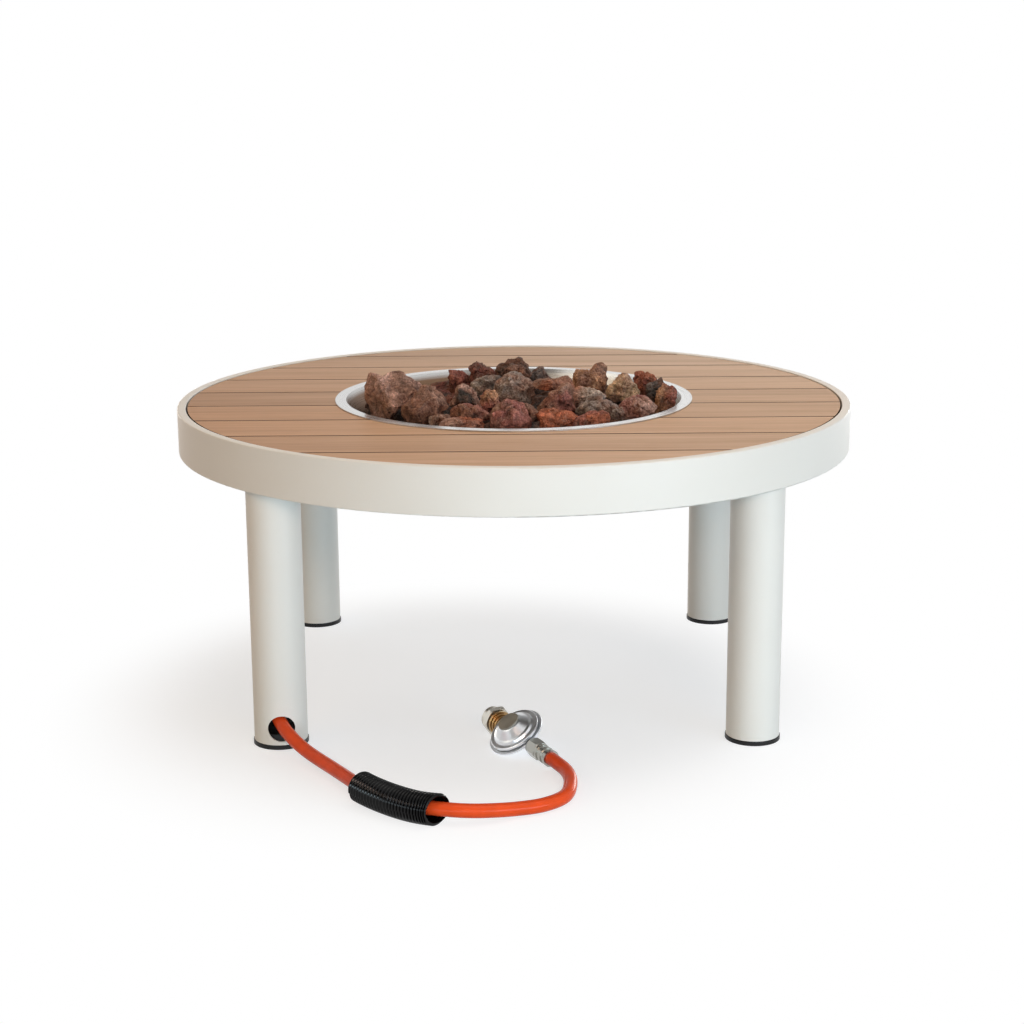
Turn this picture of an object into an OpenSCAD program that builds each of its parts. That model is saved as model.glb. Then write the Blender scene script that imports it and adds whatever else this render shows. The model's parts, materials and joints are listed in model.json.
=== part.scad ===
// Round gas fire pit table: slatted top in a metal rim, fire bowl, four tube legs,
// and a gas hose with a sleeve and a regulator lying on the floor.
// The origin is on the floor under the middle of the table, +Z up, millimetres.

/* [Table top] */
// Overall diameter over the rim
table_d = 800; // [760:10:1000]
// Height of the rim's top edge above the floor
table_h = 350; // [330:5:500]
// Height of the rim band
rim_h = 52; // [45:1:80]
// Thickness of the rim band
rim_t = 10; // [6:1:16]
// Rounding of the rim's edges
rim_round = 1.5; // [0.5:0.5:3]
// Distance between the middles of two boards
slat_pitch = 90; // [84:1:96]
// Gap between two boards
slat_gap = 3; // [2:0.5:6]
// Thickness of the boards
slat_t = 20; // [16:1:26]
// How far the boards lie below the rim's top edge
slat_recess = 1; // [0:0.5:4]
// Gap between the ends of the boards and the rim
slat_edge_gap = 2; // [1:0.5:5]

/* [Frame under the top] */
// Width of the ring inside the rim that carries the board ends
ledge_w = 24; // [20:1:40]
// Width of the ring round the bowl opening
collar_w = 26; // [22:1:36]
// Thickness of both rings
ring_t = 4; // [3:0.5:8]
// Width of a spoke
spoke_w = 20; // [14:1:24]
// Height of a spoke
spoke_h = 20; // [14:1:30]
// Diameter of a board screw's shank
screw_d = 4; // [3:0.5:5]
// Length of a board screw under its head
screw_len = 18; // [12:1:20]

/* [Legs] */
// Outer diameter of a leg tube
leg_d = 60; // [56:1:66]
// Wall of a leg tube
leg_wall = 2; // [1.5:0.5:3]
// Direction of the legs from the middle, from the X axis, in degrees
leg_az = 41.2; // [36:0.1:46]
// Diameter of the plate on top of a leg
leg_plate_d = 70; // [68:1:80]
// Thickness of the plate on top of a leg
leg_plate_t = 5; // [4:0.5:8]
// Height of the plug in the top of a leg
leg_plug_h = 12; // [10:1:20]
// Diameter of a leg bolt
bolt_d = 8; // [6:1:8]
// Height of a foot under its leg
foot_h = 5; // [3:0.5:12]
// How far a foot stands out past its leg
foot_lip = 1; // [0.5:0.5:3]
// Height of a foot's plug inside its leg
foot_plug_h = 12; // [8:1:12]
// Diameter of the hose outlet near the foot of the front left leg
outlet_d = 30; // [28:1:32]

/* [Fire bowl and burner] */
// Inside diameter of the bowl's mouth
mouth_d = 402; // [380:2:410]
// Width of the bowl's flange
flange_w = 13; // [11:0.5:20]
// Sheet thickness of the bowl
sheet_t = 1.5; // [1:0.1:2.5]
// Depth of the bowl below the rim's top edge
bowl_depth = 70; // [66:1:80]
// Inside diameter of the bowl's floor
bowl_floor_d = 350; // [330:2:360]
// Diameter of the burner ring along the middle of its tube
burner_d = 240; // [200:5:260]
// Diameter of the burner tube
burner_tube_d = 18; // [16:1:20]
// Wall of the burner tube and its hub
burner_wall = 1.5; // [1:0.1:2]
// Number of flame ports on the burner ring
port_count = 24; // [12:2:36]
// Outer diameter of the mixing tube
mix_d = 26; // [24:1:30]
// Bore of the mixing tube
mix_bore = 20; // [18:1:22]

/* [Gas valve and tube] */
// Diameter of the control knob
knob_d = 34; // [26:1:36]
// Length of the control knob
knob_len = 19; // [15:1:22]
// Diameter of the valve spindle
spindle_d = 6; // [5:0.5:7]
// Width of the valve block
valve_w = 24; // [22:1:28]
// Diameter of the copper gas tube
gas_tube_d = 8; // [6:1:10]
// Thickness of the valve bracket and the injector strap
bracket_t = 3; // [2:0.5:4]
// Width of the valve bracket and the injector strap
bracket_w = 34; // [30:1:40]

/* [Hose and regulator] */
// Outer diameter of the gas hose
hose_d = 15; // [14:0.5:16]
// Bore of the gas hose
hose_bore = 8; // [6:0.5:9]
// Diameter of the corrugated sleeve over its ribs
sleeve_d = 33.5; // [30:0.5:36]
// Depth of a rib
rib_h = 2; // [1.5:0.1:2.4]
// Wall of the sleeve under its ribs
sleeve_wall = 0.8; // [0.5:0.1:1]
// Number of ribs
rib_count = 27; // [20:1:32]
// Diameter of the regulator's housing
reg_d = 65; // [60:1:70]
// Diameter of the regulator's cover
cover_d = 59; // [54:1:64]
// Width of the coupling nut across its flats
coupling_af = 30; // [29:0.1:30.4]
// Core diameter of the coupling nut's thread
coupling_bore = 20; // [19:0.2:20.4]

/* [Hidden] */
$fn = 64;
eps = 0.01;

// Levels of the top, from the rim down to the legs
slat_top = table_h - slat_recess;
slat_bottom = slat_top - slat_t;
ring_bottom = slat_bottom - ring_t;
spoke_bottom = ring_bottom - spoke_h;
leg_top = spoke_bottom - leg_plate_t;

// Radii of the top
rim_in_r = table_d / 2 - rim_t;
slat_r = rim_in_r - slat_edge_gap;
mouth_r = mouth_d / 2;
flange_r = mouth_r + flange_w;
bowl_clear = 3.5;
open_r = mouth_r + sheet_t + bowl_clear;
collar_r = open_r + collar_w;
ledge_mid_r = rim_in_r - ledge_w / 2;
collar_mid_r = open_r + collar_w / 2;
weld_gap = 0.5;

// Boards: rows are counted from the front, the middle row is row 0
last_row = 4;
notch_land = 12;
split_row = 1;
pilot_clear = 0.05;
screw_head_d = screw_d * 2;
screw_head_h = 2.5;

// Legs
leg_gap = 1.4;
leg_r = rim_in_r - leg_plate_d / 2 - leg_gap;
leg_x = leg_r * cos(leg_az);
leg_y = leg_r * sin(leg_az);
leg_at = [[-leg_x, -leg_y], [leg_x, -leg_y], [-leg_x, leg_y], [leg_x, leg_y]];
leg_turn = [180 + leg_az, -leg_az, 180 - leg_az, leg_az];
leg_bore_r = leg_d / 2 - leg_wall;
plug_clear = 0.2;
bolt_offset = spoke_w / 2 + bolt_d * 0.8125 + 3.5;
bolt_head_d = bolt_d * 1.625;
bolt_head_h = 5;
bolt_end_gap = 1;
outlet_z = 24;
outlet_az = -82;
inlet_hole_d = 29;
inlet_hole_z = 267;
inlet_hole_az = 110;

// Bowl, burner and mixing tube
bowl_floor_z = table_h - bowl_depth;
bowl_floor_r = bowl_floor_d / 2;
bowl_slope = (mouth_r - bowl_floor_r) / (slat_top - bowl_floor_z);
locknut_h = 8;
locknut_af = mix_d + 14;
thread_clear = 0.05;
seat_gap = 0.3;
burner_z = bowl_floor_z + locknut_h + seat_gap + burner_tube_d / 2;
burner_top = burner_z + burner_tube_d / 2;
hub_d = mix_d + 10;
arm_d = 12;
port_d = 2.5;
mix_shoulder_t = 3;
mix_drop = 37;
mix_bottom = bowl_floor_z - sheet_t - mix_drop;
mix_top = burner_z + 3;
mix_window_d = 9;
drain_d = 8;
drain_ring_r = 75;

// Gas valve under the left side of the rim
valve_y = 40;
valve_z = 275;
valve_h = 28;
valve_set_in = 60;
valve_x = -(rim_in_r - valve_set_in);
bracket_x = valve_x - valve_w / 2;
neck_d = 16;
valve_nut_t = 5;
knob_gap = 3;
knob_x = bracket_x - bracket_t - valve_nut_t - knob_gap;
run_clear = 0.05;
knob_socket = 13;
bracket_flange_in = 4;
small_screw_d = 4;

// Unions of the hose and of the gas tube
union_af = 19;
union_len = 17;
ferrule_d = 19;
ferrule_len = 22;
nipple_d = 13;
nipple_len = 8;
tube_nut_len = 12;
tube_nut_af = gas_tube_d + 7;

// Injector on its strap under the bowl
jet_d = 9;
jet_rise = 7;
elbow_gap = 3;
elbow_top = mix_bottom - elbow_gap;
elbow_h = 17;
elbow_d = 16;
strap_top = elbow_top - elbow_h;
strap_x = open_r + 7;
gas_tube_z = strap_top + elbow_h / 2;
elbow_reach = 14;
elbow_nut_h = 6;

// Route of the hose from the leg's outlet up through the leg, measured from the leg's middle on the floor
hose_leg_route = [[5, -29, 28.5], [0.8, -20.3, 31.2], [-2, -12, 36.5], [-3, -4, 46], [-3, 4, 60],
    [-2, 10, 78], [-2, 13, 95], [-1, 12, 115],
    [1, 4, 140], [4, -8, 170], [5, -14, 200], [4, -11, 222], [0, 1, 246], [-5, 14, 260], [-10.5, 28.5, 268]];
// Route from the leg to the valve: shares of the way in X and Y, and the height above the valve's middle
hose_run = [[0.16, 0.12, -3], [0.4, 0.32, -1], [0.66, 0.55, 0], [0.89, 0.76, 0], [1, 0.92, 0]];
// Route of the hose on the floor, from the leg's outlet to the ferrule, measured from the leg's middle
hose_floor_route = [[5, -29, 28.5], [9.2, -37.7, 25.8], [16, -48, 22.5], [24, -59, 18.8], [36, -74, 14.7],
    [49.5, -93, 13], [67, -118, 12], [84, -145, 12], [102, -176, 13.3], [121, -200, 14.6], [144, -222, 15.2],
    [166, -237, 15.5], [190, -245, 15.5], [213, -247, 14.5], [236, -242, 12.4], [264, -229, 8.8],
    [292, -216, 7.8], [314, -193, 7.7], [321, -158, 8.5], [318, -130, 10.3]];
hose_straight = 12;
sleeve_first = 8;
sleeve_last = 11.8;
// The sleeve lies on the floor a little nearer to the front than the hose in it
sleeve_shift = [-1.5, -4];
sleeve_z = sleeve_d / 2 + 0.3;
sleeve_bore_r = sleeve_d / 2 - rib_h - sleeve_wall;
hose_sides = 12;
sleeve_sides = 8;

// Regulator: place of the middle of its flow axis from the front left leg, then heading, dip and roll
reg_from_leg = [267.6, -34.4];
reg_z = 15.6;
reg_heading = -61.2;
reg_dip = 2.6;
reg_roll = 34.3;
reg_r = reg_d / 2;
reg_joint_z = 7;
diaphragm_t = 1.5;
clamp_clear = 0.02;
cover_t = 1.2;
cover_r = cover_d / 2;
cover_h = 15;
cap_d = 25;
outlet_face = 33;
inlet_face = -34;
tail_d = 14;
coupling_face = -46;
coupling_hex_len = 8;
coupling_len = 16;
coupling_back = 4;
coupling_shank_d = 27;
thread_len = 7;
thread_relief = 1;
tail_head_d = 18.5;
tail_head_len = 3;
flow_d = 7;

function leg_point(point) = [point[0] - leg_x, point[1] - leg_y, point[2]];
function unit(v) = v / norm(v);
function row_edge(place) = abs(place) == 2.5
    ? sign(place) * max(2.5 * slat_pitch, open_r + notch_land)
    : place * slat_pitch;
function row_low(row) = row == -last_row ? -slat_r : row_edge(row - 0.5) + slat_gap / 2;
function row_high(row) = -row_low(-row);
function row_mid(row) = (row_low(row) + row_high(row)) / 2;
function chord(radius, y) = sqrt(radius * radius - y * y);

// Places of the board screws: two at the ends of each row, and two at the bowl where the row reaches it
function row_screws(row) = let (
        y = row_mid(row),
        outer = chord(ledge_mid_r, y),
        edge = screw_head_d)
    concat([[-outer, y], [outer, y]],
        abs(y) < collar_mid_r - edge
            ? [[-chord(collar_mid_r, y), y], [chord(collar_mid_r, y), y]]
            : []);
slat_screw_at = [for (row = [-last_row:last_row]) each row_screws(row)];
valve_screw_at = [for (side = [-1, 1]) [-ledge_mid_r, valve_y + side * bracket_w / 4]];
strap_screw_at = [for (end = [-1, 1], side = [-1, 1])
    [end * (strap_x + bracket_t + small_screw_d + 3), side * bracket_w / 4]];

// Direction of the route at one of its points
function route_dir(route, i) = unit(route[min(i + 1, len(route) - 1)] - route[max(i - 1, 0)]);
// One ring of points round the route, square to it; side_axis never runs along the route
function route_ring(route, i, radius, sides, side_axis) = let (
        ahead = route_dir(route, i),
        across = unit(side_axis - (side_axis * ahead) * ahead),
        over = cross(ahead, across))
    [for (k = [0:sides - 1])
        route[i] + radius * (cos(360 * k / sides) * across + sin(360 * k / sides) * over)];
// Point on a smooth curve through the route's points, where position counts the points
function route_curve(route, position) = let (
        i = min(floor(position), len(route) - 2),
        t = position - i,
        before = route[max(i - 1, 0)],
        from = route[i],
        to = route[i + 1],
        after = route[min(i + 2, len(route) - 1)])
    0.5 * (2 * from + (to - before) * t + (2 * before - 5 * from + 4 * to - after) * t * t
        + (3 * from - before - 3 * to + after) * t * t * t);

// Triangles between two neighbouring rings, the second of which is counted from its own start
function band(first, second, sides) = [for (k = [0:sides - 1])
    let (n = (k + 1) % sides)
    each [[first + k, second + k, first + n], [first + n, second + k, second + n]]];

// Pipe along a route, with an outer radius for each of its points and one bore
module swept_pipe(route, outer_radii, bore_r, sides, side_axis) {
    last = len(route) - 1;
    outer = [for (i = [0:last]) each route_ring(route, i, outer_radii[i], sides, side_axis)];
    inner = [for (i = [0:last]) each route_ring(route, i, bore_r, sides, side_axis)];
    start = len(outer);
    skin = [for (i = [0:last - 1]) each band((i + 1) * sides, i * sides, sides)];
    wall = [for (i = [0:last - 1]) each band(start + i * sides, start + (i + 1) * sides, sides)];
    near_end = band(0, start, sides);
    far_end = band(start + last * sides, last * sides, sides);
    polyhedron(points = concat(outer, inner), faces = concat(skin, wall, near_end, far_end));
}

// Bar of round section along a route, with closed ends
module swept_rod(route, radius, sides, side_axis) {
    last = len(route) - 1;
    rings = [for (i = [0:last]) each route_ring(route, i, radius, sides, side_axis)];
    skin = [for (i = [0:last - 1]) each band((i + 1) * sides, i * sides, sides)];
    near_end = [for (k = [1:sides - 2]) [0, k + 1, k]];
    far_end = [for (k = [1:sides - 2]) [last * sides, last * sides + k, last * sides + k + 1]];
    polyhedron(points = rings, faces = concat(skin, near_end, far_end));
}

// Rectangle with rounded corners
module rounded_rect(width, height, radius) {
    translate([radius, 0]) square([width - 2 * radius, height]);
    translate([0, radius]) square([width, height - 2 * radius]);
    for (x = [radius, width - radius], y = [radius, height - radius])
        translate([x, y]) circle(radius);
}

module flat_ring(inner_r, outer_r, bottom, thickness) {
    translate([0, 0, bottom]) difference() {
        cylinder(h = thickness, r = outer_r);
        translate([0, 0, -eps]) cylinder(h = thickness + 2 * eps, r = inner_r);
    }
}

// Hexagonal prism with its corners taken off at both ends
module hex_prism(flats, length) {
    corner_r = flats / sqrt(3);
    bevel = corner_r - flats / 2;
    intersection() {
        cylinder(h = length, r = corner_r, $fn = 6);
        union() {
            cylinder(h = bevel, r1 = flats / 2 + bevel / 4, r2 = corner_r);
            translate([0, 0, bevel]) cylinder(h = length - 2 * bevel, r = corner_r);
            translate([0, 0, length - bevel]) cylinder(h = bevel, r1 = corner_r, r2 = flats / 2 + bevel / 4);
        }
    }
}

module holes(places, diameter, bottom, height) {
    for (place = places)
        translate([place[0], place[1], bottom]) cylinder(h = height, d = diameter);
}

// Screw or bolt with a round head that points up into what it holds
module head_down_screw(place, head_top, diameter, length) {
    translate([place[0], place[1], head_top]) {
        translate([0, 0, -screw_head_h]) cylinder(h = screw_head_h, d = diameter * 2);
        cylinder(h = length, d = diameter);
    }
}

// Table top and its frame
module rim_ring() {
    color("ivory") translate([0, 0, table_h - rim_h]) rotate_extrude($fn = 128)
        translate([rim_in_r, 0]) rounded_rect(rim_t, rim_h, rim_round);
}

module slat_ledge() {
    color("ivory") difference() {
        flat_ring(rim_in_r - ledge_w, rim_in_r, ring_bottom, ring_t);
        holes(slat_screw_at, screw_d + 2 * pilot_clear, ring_bottom - eps, ring_t + 2 * eps);
        holes(valve_screw_at, small_screw_d + 2 * pilot_clear, ring_bottom - eps, ring_t + 2 * eps);
    }
}

module bowl_collar() {
    color("ivory") difference() {
        flat_ring(open_r, collar_r, ring_bottom, ring_t);
        holes(slat_screw_at, screw_d + 2 * pilot_clear, ring_bottom - eps, ring_t + 2 * eps);
        holes(strap_screw_at, small_screw_d + 2 * pilot_clear, ring_bottom - eps, ring_t + 2 * eps);
    }
}

module frame_spokes() {
    start = open_r + bowl_clear;
    color("ivory") for (turn = leg_turn)
        rotate([0, 0, turn]) translate([start, -spoke_w / 2, spoke_bottom])
            cube([rim_in_r - weld_gap - start, spoke_w, spoke_h]);
}

module slat(row, side) {
    color("peru") difference() {
        translate([0, 0, slat_bottom]) linear_extrude(slat_t) difference() {
            intersection() {
                circle(slat_r, $fn = 128);
                translate([side > 0 ? 0 : -table_d, row_low(row)])
                    square([side == 0 ? 2 * table_d : table_d, row_high(row) - row_low(row)]);
            }
            circle(open_r, $fn = 128);
        }
        holes(slat_screw_at, screw_d + 2 * pilot_clear, ring_bottom, screw_len + pilot_clear);
    }
}

module slat_screws() {
    color("silver") for (place = slat_screw_at)
        head_down_screw(place, ring_bottom, screw_d, screw_len);
}

// Legs
module leg_bolt_holes(diameter, bottom, height) {
    for (i = [0:3])
        translate(leg_at[i]) rotate([0, 0, leg_turn[i]]) for (side = [-1, 1])
            translate([0, side * bolt_offset, bottom]) cylinder(h = height, d = diameter);
}

module leg_plates() {
    color("ivory") difference() {
        for (place = leg_at)
            translate([place[0], place[1], leg_top]) cylinder(h = leg_plate_t, d = leg_plate_d);
        leg_bolt_holes(bolt_d + 2 * plug_clear, leg_top - eps, leg_plate_t + 2 * eps);
    }
}

module leg_plugs() {
    color("silver") difference() {
        for (place = leg_at)
            translate([place[0], place[1], leg_top - leg_plug_h])
                cylinder(h = leg_plug_h, r = leg_bore_r - plug_clear);
        leg_bolt_holes(bolt_d + 2 * pilot_clear, leg_top - leg_plug_h - eps, leg_plug_h + 2 * eps);
    }
}

module leg_bolts() {
    bolt_end = leg_top - leg_plug_h + bolt_end_gap;
    color("silver") {
        leg_bolt_holes(bolt_head_d, spoke_bottom, bolt_head_h);
        leg_bolt_holes(bolt_d, bolt_end, spoke_bottom - bolt_end + eps);
    }
}

module leg_tube(i) {
    translate([leg_at[i][0], leg_at[i][1], foot_h]) difference() {
        cylinder(h = leg_top - foot_h, d = leg_d);
        translate([0, 0, -eps]) cylinder(h = leg_top - foot_h + 2 * eps, r = leg_bore_r);
    }
}

module side_hole(azimuth, height, diameter) {
    translate([leg_at[0][0], leg_at[0][1], height]) rotate([0, 0, azimuth]) rotate([0, 90, 0])
        cylinder(h = leg_d, d = diameter);
}

module leg(i) {
    color("ivory") leg_tube(i);
}

module leg_with_hose() {
    color("ivory") difference() {
        leg_tube(0);
        side_hole(outlet_az, outlet_z, outlet_d);
        side_hole(inlet_hole_az, inlet_hole_z, inlet_hole_d);
    }
}

module foot(i) {
    color("black") translate([leg_at[i][0], leg_at[i][1], 0]) rotate_extrude() {
        square([leg_d / 2, foot_h]);
        translate([0, 0]) square([leg_d / 2 + foot_lip, foot_h - foot_lip]);
        translate([leg_d / 2, foot_h - foot_lip]) intersection() {
            circle(foot_lip);
            square(foot_lip);
        }
        square([leg_bore_r - plug_clear, foot_h + foot_plug_h]);
    }
}

// Fire bowl and burner
module burner_bowl() {
    under_z = bowl_floor_z - sheet_t;
    color("gainsboro") difference() {
        rotate_extrude($fn = 128) polygon([[0, under_z], [bowl_floor_r + sheet_t, under_z],
            [mouth_r + sheet_t, slat_top], [flange_r, slat_top], [flange_r, slat_top + sheet_t],
            [mouth_r, slat_top + sheet_t], [bowl_floor_r, bowl_floor_z], [0, bowl_floor_z]]);
        translate([0, 0, under_z - eps]) cylinder(h = sheet_t + 2 * eps, d = mix_d + 2 * thread_clear);
        for (turn = [45:90:315])
            rotate([0, 0, turn]) translate([drain_ring_r, 0, under_z - eps])
                cylinder(h = sheet_t + 2 * eps, d = drain_d);
    }
}

module burner_ring() {
    inner_d = burner_tube_d - 2 * burner_wall;
    color("silver") translate([0, 0, burner_z]) difference() {
        union() {
            rotate_extrude() translate([burner_d / 2, 0]) circle(d = burner_tube_d);
            translate([0, 0, -burner_tube_d / 2]) cylinder(h = burner_tube_d, d = hub_d);
            for (turn = [0:90:270])
                rotate([0, 90, turn]) cylinder(h = burner_d / 2, d = arm_d);
        }
        rotate_extrude() translate([burner_d / 2, 0]) circle(d = inner_d);
        translate([0, 0, -burner_tube_d / 2 - eps])
            cylinder(h = burner_tube_d - burner_wall, d = mix_d + 2 * thread_clear);
        for (turn = [0:90:270])
            rotate([0, 90, turn]) cylinder(h = burner_d / 2, d = arm_d - 2 * burner_wall);
        for (i = [0:port_count - 1])
            rotate([0, 0, (i + 0.5) * 360 / port_count]) translate([burner_d / 2, 0, 0])
                cylinder(h = burner_tube_d, d = port_d);
    }
}

module mixing_tube() {
    color("silver") difference() {
        union() {
            translate([0, 0, mix_bottom]) cylinder(h = mix_top - mix_bottom, d = mix_d);
            translate([0, 0, bowl_floor_z - sheet_t - mix_shoulder_t])
                cylinder(h = mix_shoulder_t, d = hub_d);
        }
        translate([0, 0, mix_bottom - eps]) cylinder(h = mix_top - mix_bottom + 2 * eps, d = mix_bore);
        translate([0, 0, mix_bottom + mix_drop / 2]) for (turn = [45, 135])
            rotate([0, 0, turn]) rotate([0, 90, 0])
                cylinder(h = 2 * mix_d, d = mix_window_d, center = true);
    }
}

module burner_locknut() {
    color("silver") translate([0, 0, bowl_floor_z]) difference() {
        hex_prism(locknut_af, locknut_h);
        translate([0, 0, -eps]) cylinder(h = locknut_h + 2 * eps, d = mix_d + 2 * thread_clear);
    }
}

// Number from 0 to 1 that differs from rock to rock and from corner to corner
function scatter(a, b) = let (v = sin(a * 127.1 + b * 311.7) * 437.585) v - floor(v);

// Lava rocks of the heap, placed one by one as they lie: the middle of each in plan, the height of its top
// above the rim's top edge, and its half sizes along X and Y
heap_rocks = [
    [-141, -62, 41, 31, 27], [-107, -98, 30, 28, 22], [-165, -28, 10, 19, 20],
    [-68, 110, 16, 17, 19], [-42, 98, 30, 18, 18], [-3, 84, 36, 22, 19],
    [-56, -40, 24, 20, 19], [-34, 36, 25, 19, 18], [-30, -78, 24, 13, 15],
    [0, -9, 33, 23, 21], [31, 84, 24, 15, 16], [-50, -118, 13, 22, 18],
    [-56, -152, 5, 27, 18], [-8, -135, 20, 21, 20], [21, -116, 13, 12, 14],
    [47, -50, 26, 24, 20], [51, -138, 12, 24, 20], [86, -28, 22, 18, 17],
    [96, -85, 17, 25, 19], [89, 40, 36, 24, 20], [95, -138, 6, 20, 17],
    [131, 16, 24, 20, 19], [134, -74, 18, 24, 22], [160, 58, 22, 16, 17],
    [170, 8, 20, 14, 16], [176, -36, 18, 15, 18]];
rock_pitch = 50;
rock_bed_r = 158;
rock_bed_half = [28, 28, 18];
rock_gap = 0.3;
rock_rough = 0.26;
rock_seat = 1.5;
rock_stray = 16;
rock_rows = 3;
rock_bed_z = burner_top + rock_bed_half[2] - 1;
heap_bottom = rock_bed_z + rock_bed_half[2] - 5;
upper_rocks = [for (r = heap_rocks) let (half = (r[2] + table_h - heap_bottom) / 2)
    [r[0], r[1], heap_bottom + half, r[3], r[4], half]];
lower_rocks = let (n = ceil(rock_bed_r / rock_pitch) + 1)
    [for (j = [-n:n], i = [-n:n])
        let (stray = rock_stray * [scatter(i + n, j) - 0.5, scatter(j + n, i) - 0.5],
            x = (i + (j % 2 == 0 ? 0 : 0.5)) * rock_pitch + stray[0],
            y = j * rock_pitch * sqrt(3) / 2 + stray[1])
        if (norm([x, y]) < rock_bed_r)
            [x, y, rock_bed_z, each rock_bed_half * (0.88 + 0.24 * scatter(i, j + n))]];
rocks = concat(upper_rocks, lower_rocks);

function rock_middle(rock) = [rock[0], rock[1], rock[2]];
function rock_size(rock) = (rock[3] + rock[4] + rock[5]) / 3;
// How far a rock may reach in a direction before it meets the plane between it and a neighbour
function reach_to_rock(middle, size, other, dir) = let (
        apart = rock_middle(other) - middle,
        distance = norm(apart),
        squares = distance * distance + size * size - pow(rock_size(other), 2),
        plane = squares / (2 * distance) - rock_gap / 2,
        facing = dir * apart / distance)
    facing > 0.02 ? plane / facing : 2 * table_d;
// How far it may reach before it meets the sloping wall of the bowl
function reach_to_wall(middle, dir) = let (
        wall = bowl_floor_r + bowl_slope * (middle[2] - bowl_floor_z) - 2 * rock_gap,
        climb = bowl_slope * dir[2],
        a = dir[0] * dir[0] + dir[1] * dir[1] - climb * climb,
        b = middle[0] * dir[0] + middle[1] * dir[1] - wall * climb,
        c = middle[0] * middle[0] + middle[1] * middle[1] - wall * wall)
    a > 0.01 ? (sqrt(b * b - a * c) - b) / a : 2 * table_d;
function reach_down(middle, dir) =
    dir[2] < -0.02 ? (middle[2] - burner_top - rock_gap) / -dir[2] : 2 * table_d;
// The rocks of the bed end at its uneven top
function reach_up(index, dir) = dir[2] > 0.02 && index >= len(upper_rocks)
    ? rock_bed_half[2] * (0.95 + 0.25 * scatter(index + 1, 0)) / dir[2]
    : 2 * table_d;
function rock_corner(index, dir, corner) = let (
        rock = rocks[index],
        middle = rock_middle(rock),
        size = rock_size(rock),
        plain = 1 / norm([dir[0] / rock[3], dir[1] / rock[4], dir[2] / rock[5]]),
        bedded = dir[2] < -0.1 || index >= len(upper_rocks),
        swell = (bedded ? rock_seat : 1) + rock_rough * (scatter(index + 1, corner + 1) - 0.5),
        neighbours = min([for (k = [0:len(rocks) - 1])
            if (k != index) reach_to_rock(middle, size, rocks[k], dir)]))
    middle + dir * min(plain * swell, neighbours, reach_to_wall(middle, dir), reach_down(middle, dir),
        reach_up(index, dir));

// One rock: rings of corners between two poles
module rock(index, sides) {
    rings = [for (row = [1:rock_rows], k = [0:sides - 1])
        let (lat = -90 + 180 * row / (rock_rows + 1), turn = 360 * (k + row / 2) / sides + 40 * index)
        [cos(lat) * cos(turn), cos(lat) * sin(turn), sin(lat)]];
    dirs = concat(rings, [[0, 0, -1], [0, 0, 1]]);
    corners = [for (k = [0:len(dirs) - 1]) rock_corner(index, dirs[k], k)];
    bottom = len(rings);
    top = bottom + 1;
    skin = [for (row = [0:rock_rows - 2]) each band((row + 1) * sides, row * sides, sides)];
    below = [for (k = [0:sides - 1]) [bottom, k, (k + 1) % sides]];
    start = (rock_rows - 1) * sides;
    above = [for (k = [0:sides - 1]) [top, start + (k + 1) % sides, start + k]];
    polyhedron(points = corners, faces = concat(skin, below, above));
}

module lava_rocks_upper() {
    color("sienna") for (i = [0:len(upper_rocks) - 1]) rock(i, 8);
}

module lava_rocks_lower() {
    color("saddlebrown") for (i = [len(upper_rocks):len(rocks) - 1]) rock(i, 7);
}

// Control valve on its bracket
module along_x(place) {
    translate(place) rotate([0, 90, 0]) children();
}

module along_minus_x(place) {
    translate(place) rotate([0, -90, 0]) children();
}

module valve_bracket() {
    low = valve_z - valve_h / 2 - bracket_flange_in;
    reach = chord(rim_in_r - bracket_flange_in, valve_y + bracket_w / 2);
    near_y = valve_y - bracket_w / 2;
    flange_z = ring_bottom - bracket_t;
    color("silver") difference() {
        union() {
            translate([bracket_x - bracket_t, near_y, low]) cube([bracket_t, bracket_w, ring_bottom - low]);
            translate([-reach, near_y, flange_z]) cube([reach + bracket_x, bracket_w, bracket_t]);
        }
        along_minus_x([bracket_x + eps, valve_y, valve_z])
            cylinder(h = bracket_t + 2 * eps, d = neck_d + 2 * plug_clear);
        holes(valve_screw_at, small_screw_d + 2 * plug_clear, flange_z - eps, bracket_t + 2 * eps);
    }
}

module valve_body() {
    centre = [valve_x, valve_y, valve_z];
    color("goldenrod") difference() {
        union() {
            translate(centre - [valve_w, valve_w, valve_h] / 2) cube([valve_w, valve_w, valve_h]);
            along_minus_x([bracket_x + eps, valve_y, valve_z])
                cylinder(h = bracket_t + valve_nut_t + eps, d = neck_d);
            translate(centre + [0, -valve_w / 2 + eps, 0]) rotate([90, 0, 0])
                cylinder(h = nipple_len + eps, d = nipple_d);
        }
        along_minus_x(centre) cylinder(h = valve_w + bracket_t + valve_nut_t, d = spindle_d + 2 * run_clear);
        translate(centre) rotate([90, 0, 0]) cylinder(h = valve_w, d = flow_d);
        along_x(centre) cylinder(h = valve_w, d = gas_tube_d - 2);
    }
}

module valve_locknut() {
    color("silver") difference() {
        along_minus_x([bracket_x - bracket_t, valve_y, valve_z]) hex_prism(neck_d + 6, valve_nut_t);
        along_minus_x([bracket_x, valve_y, valve_z])
            cylinder(h = bracket_t + valve_nut_t + eps, d = neck_d + 2 * thread_clear);
    }
}

module valve_spindle() {
    color("silver") along_minus_x([valve_x - flow_d / 2, valve_y, valve_z])
        cylinder(h = valve_x - flow_d / 2 - knob_x + knob_socket - 1, d = spindle_d);
}

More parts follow.
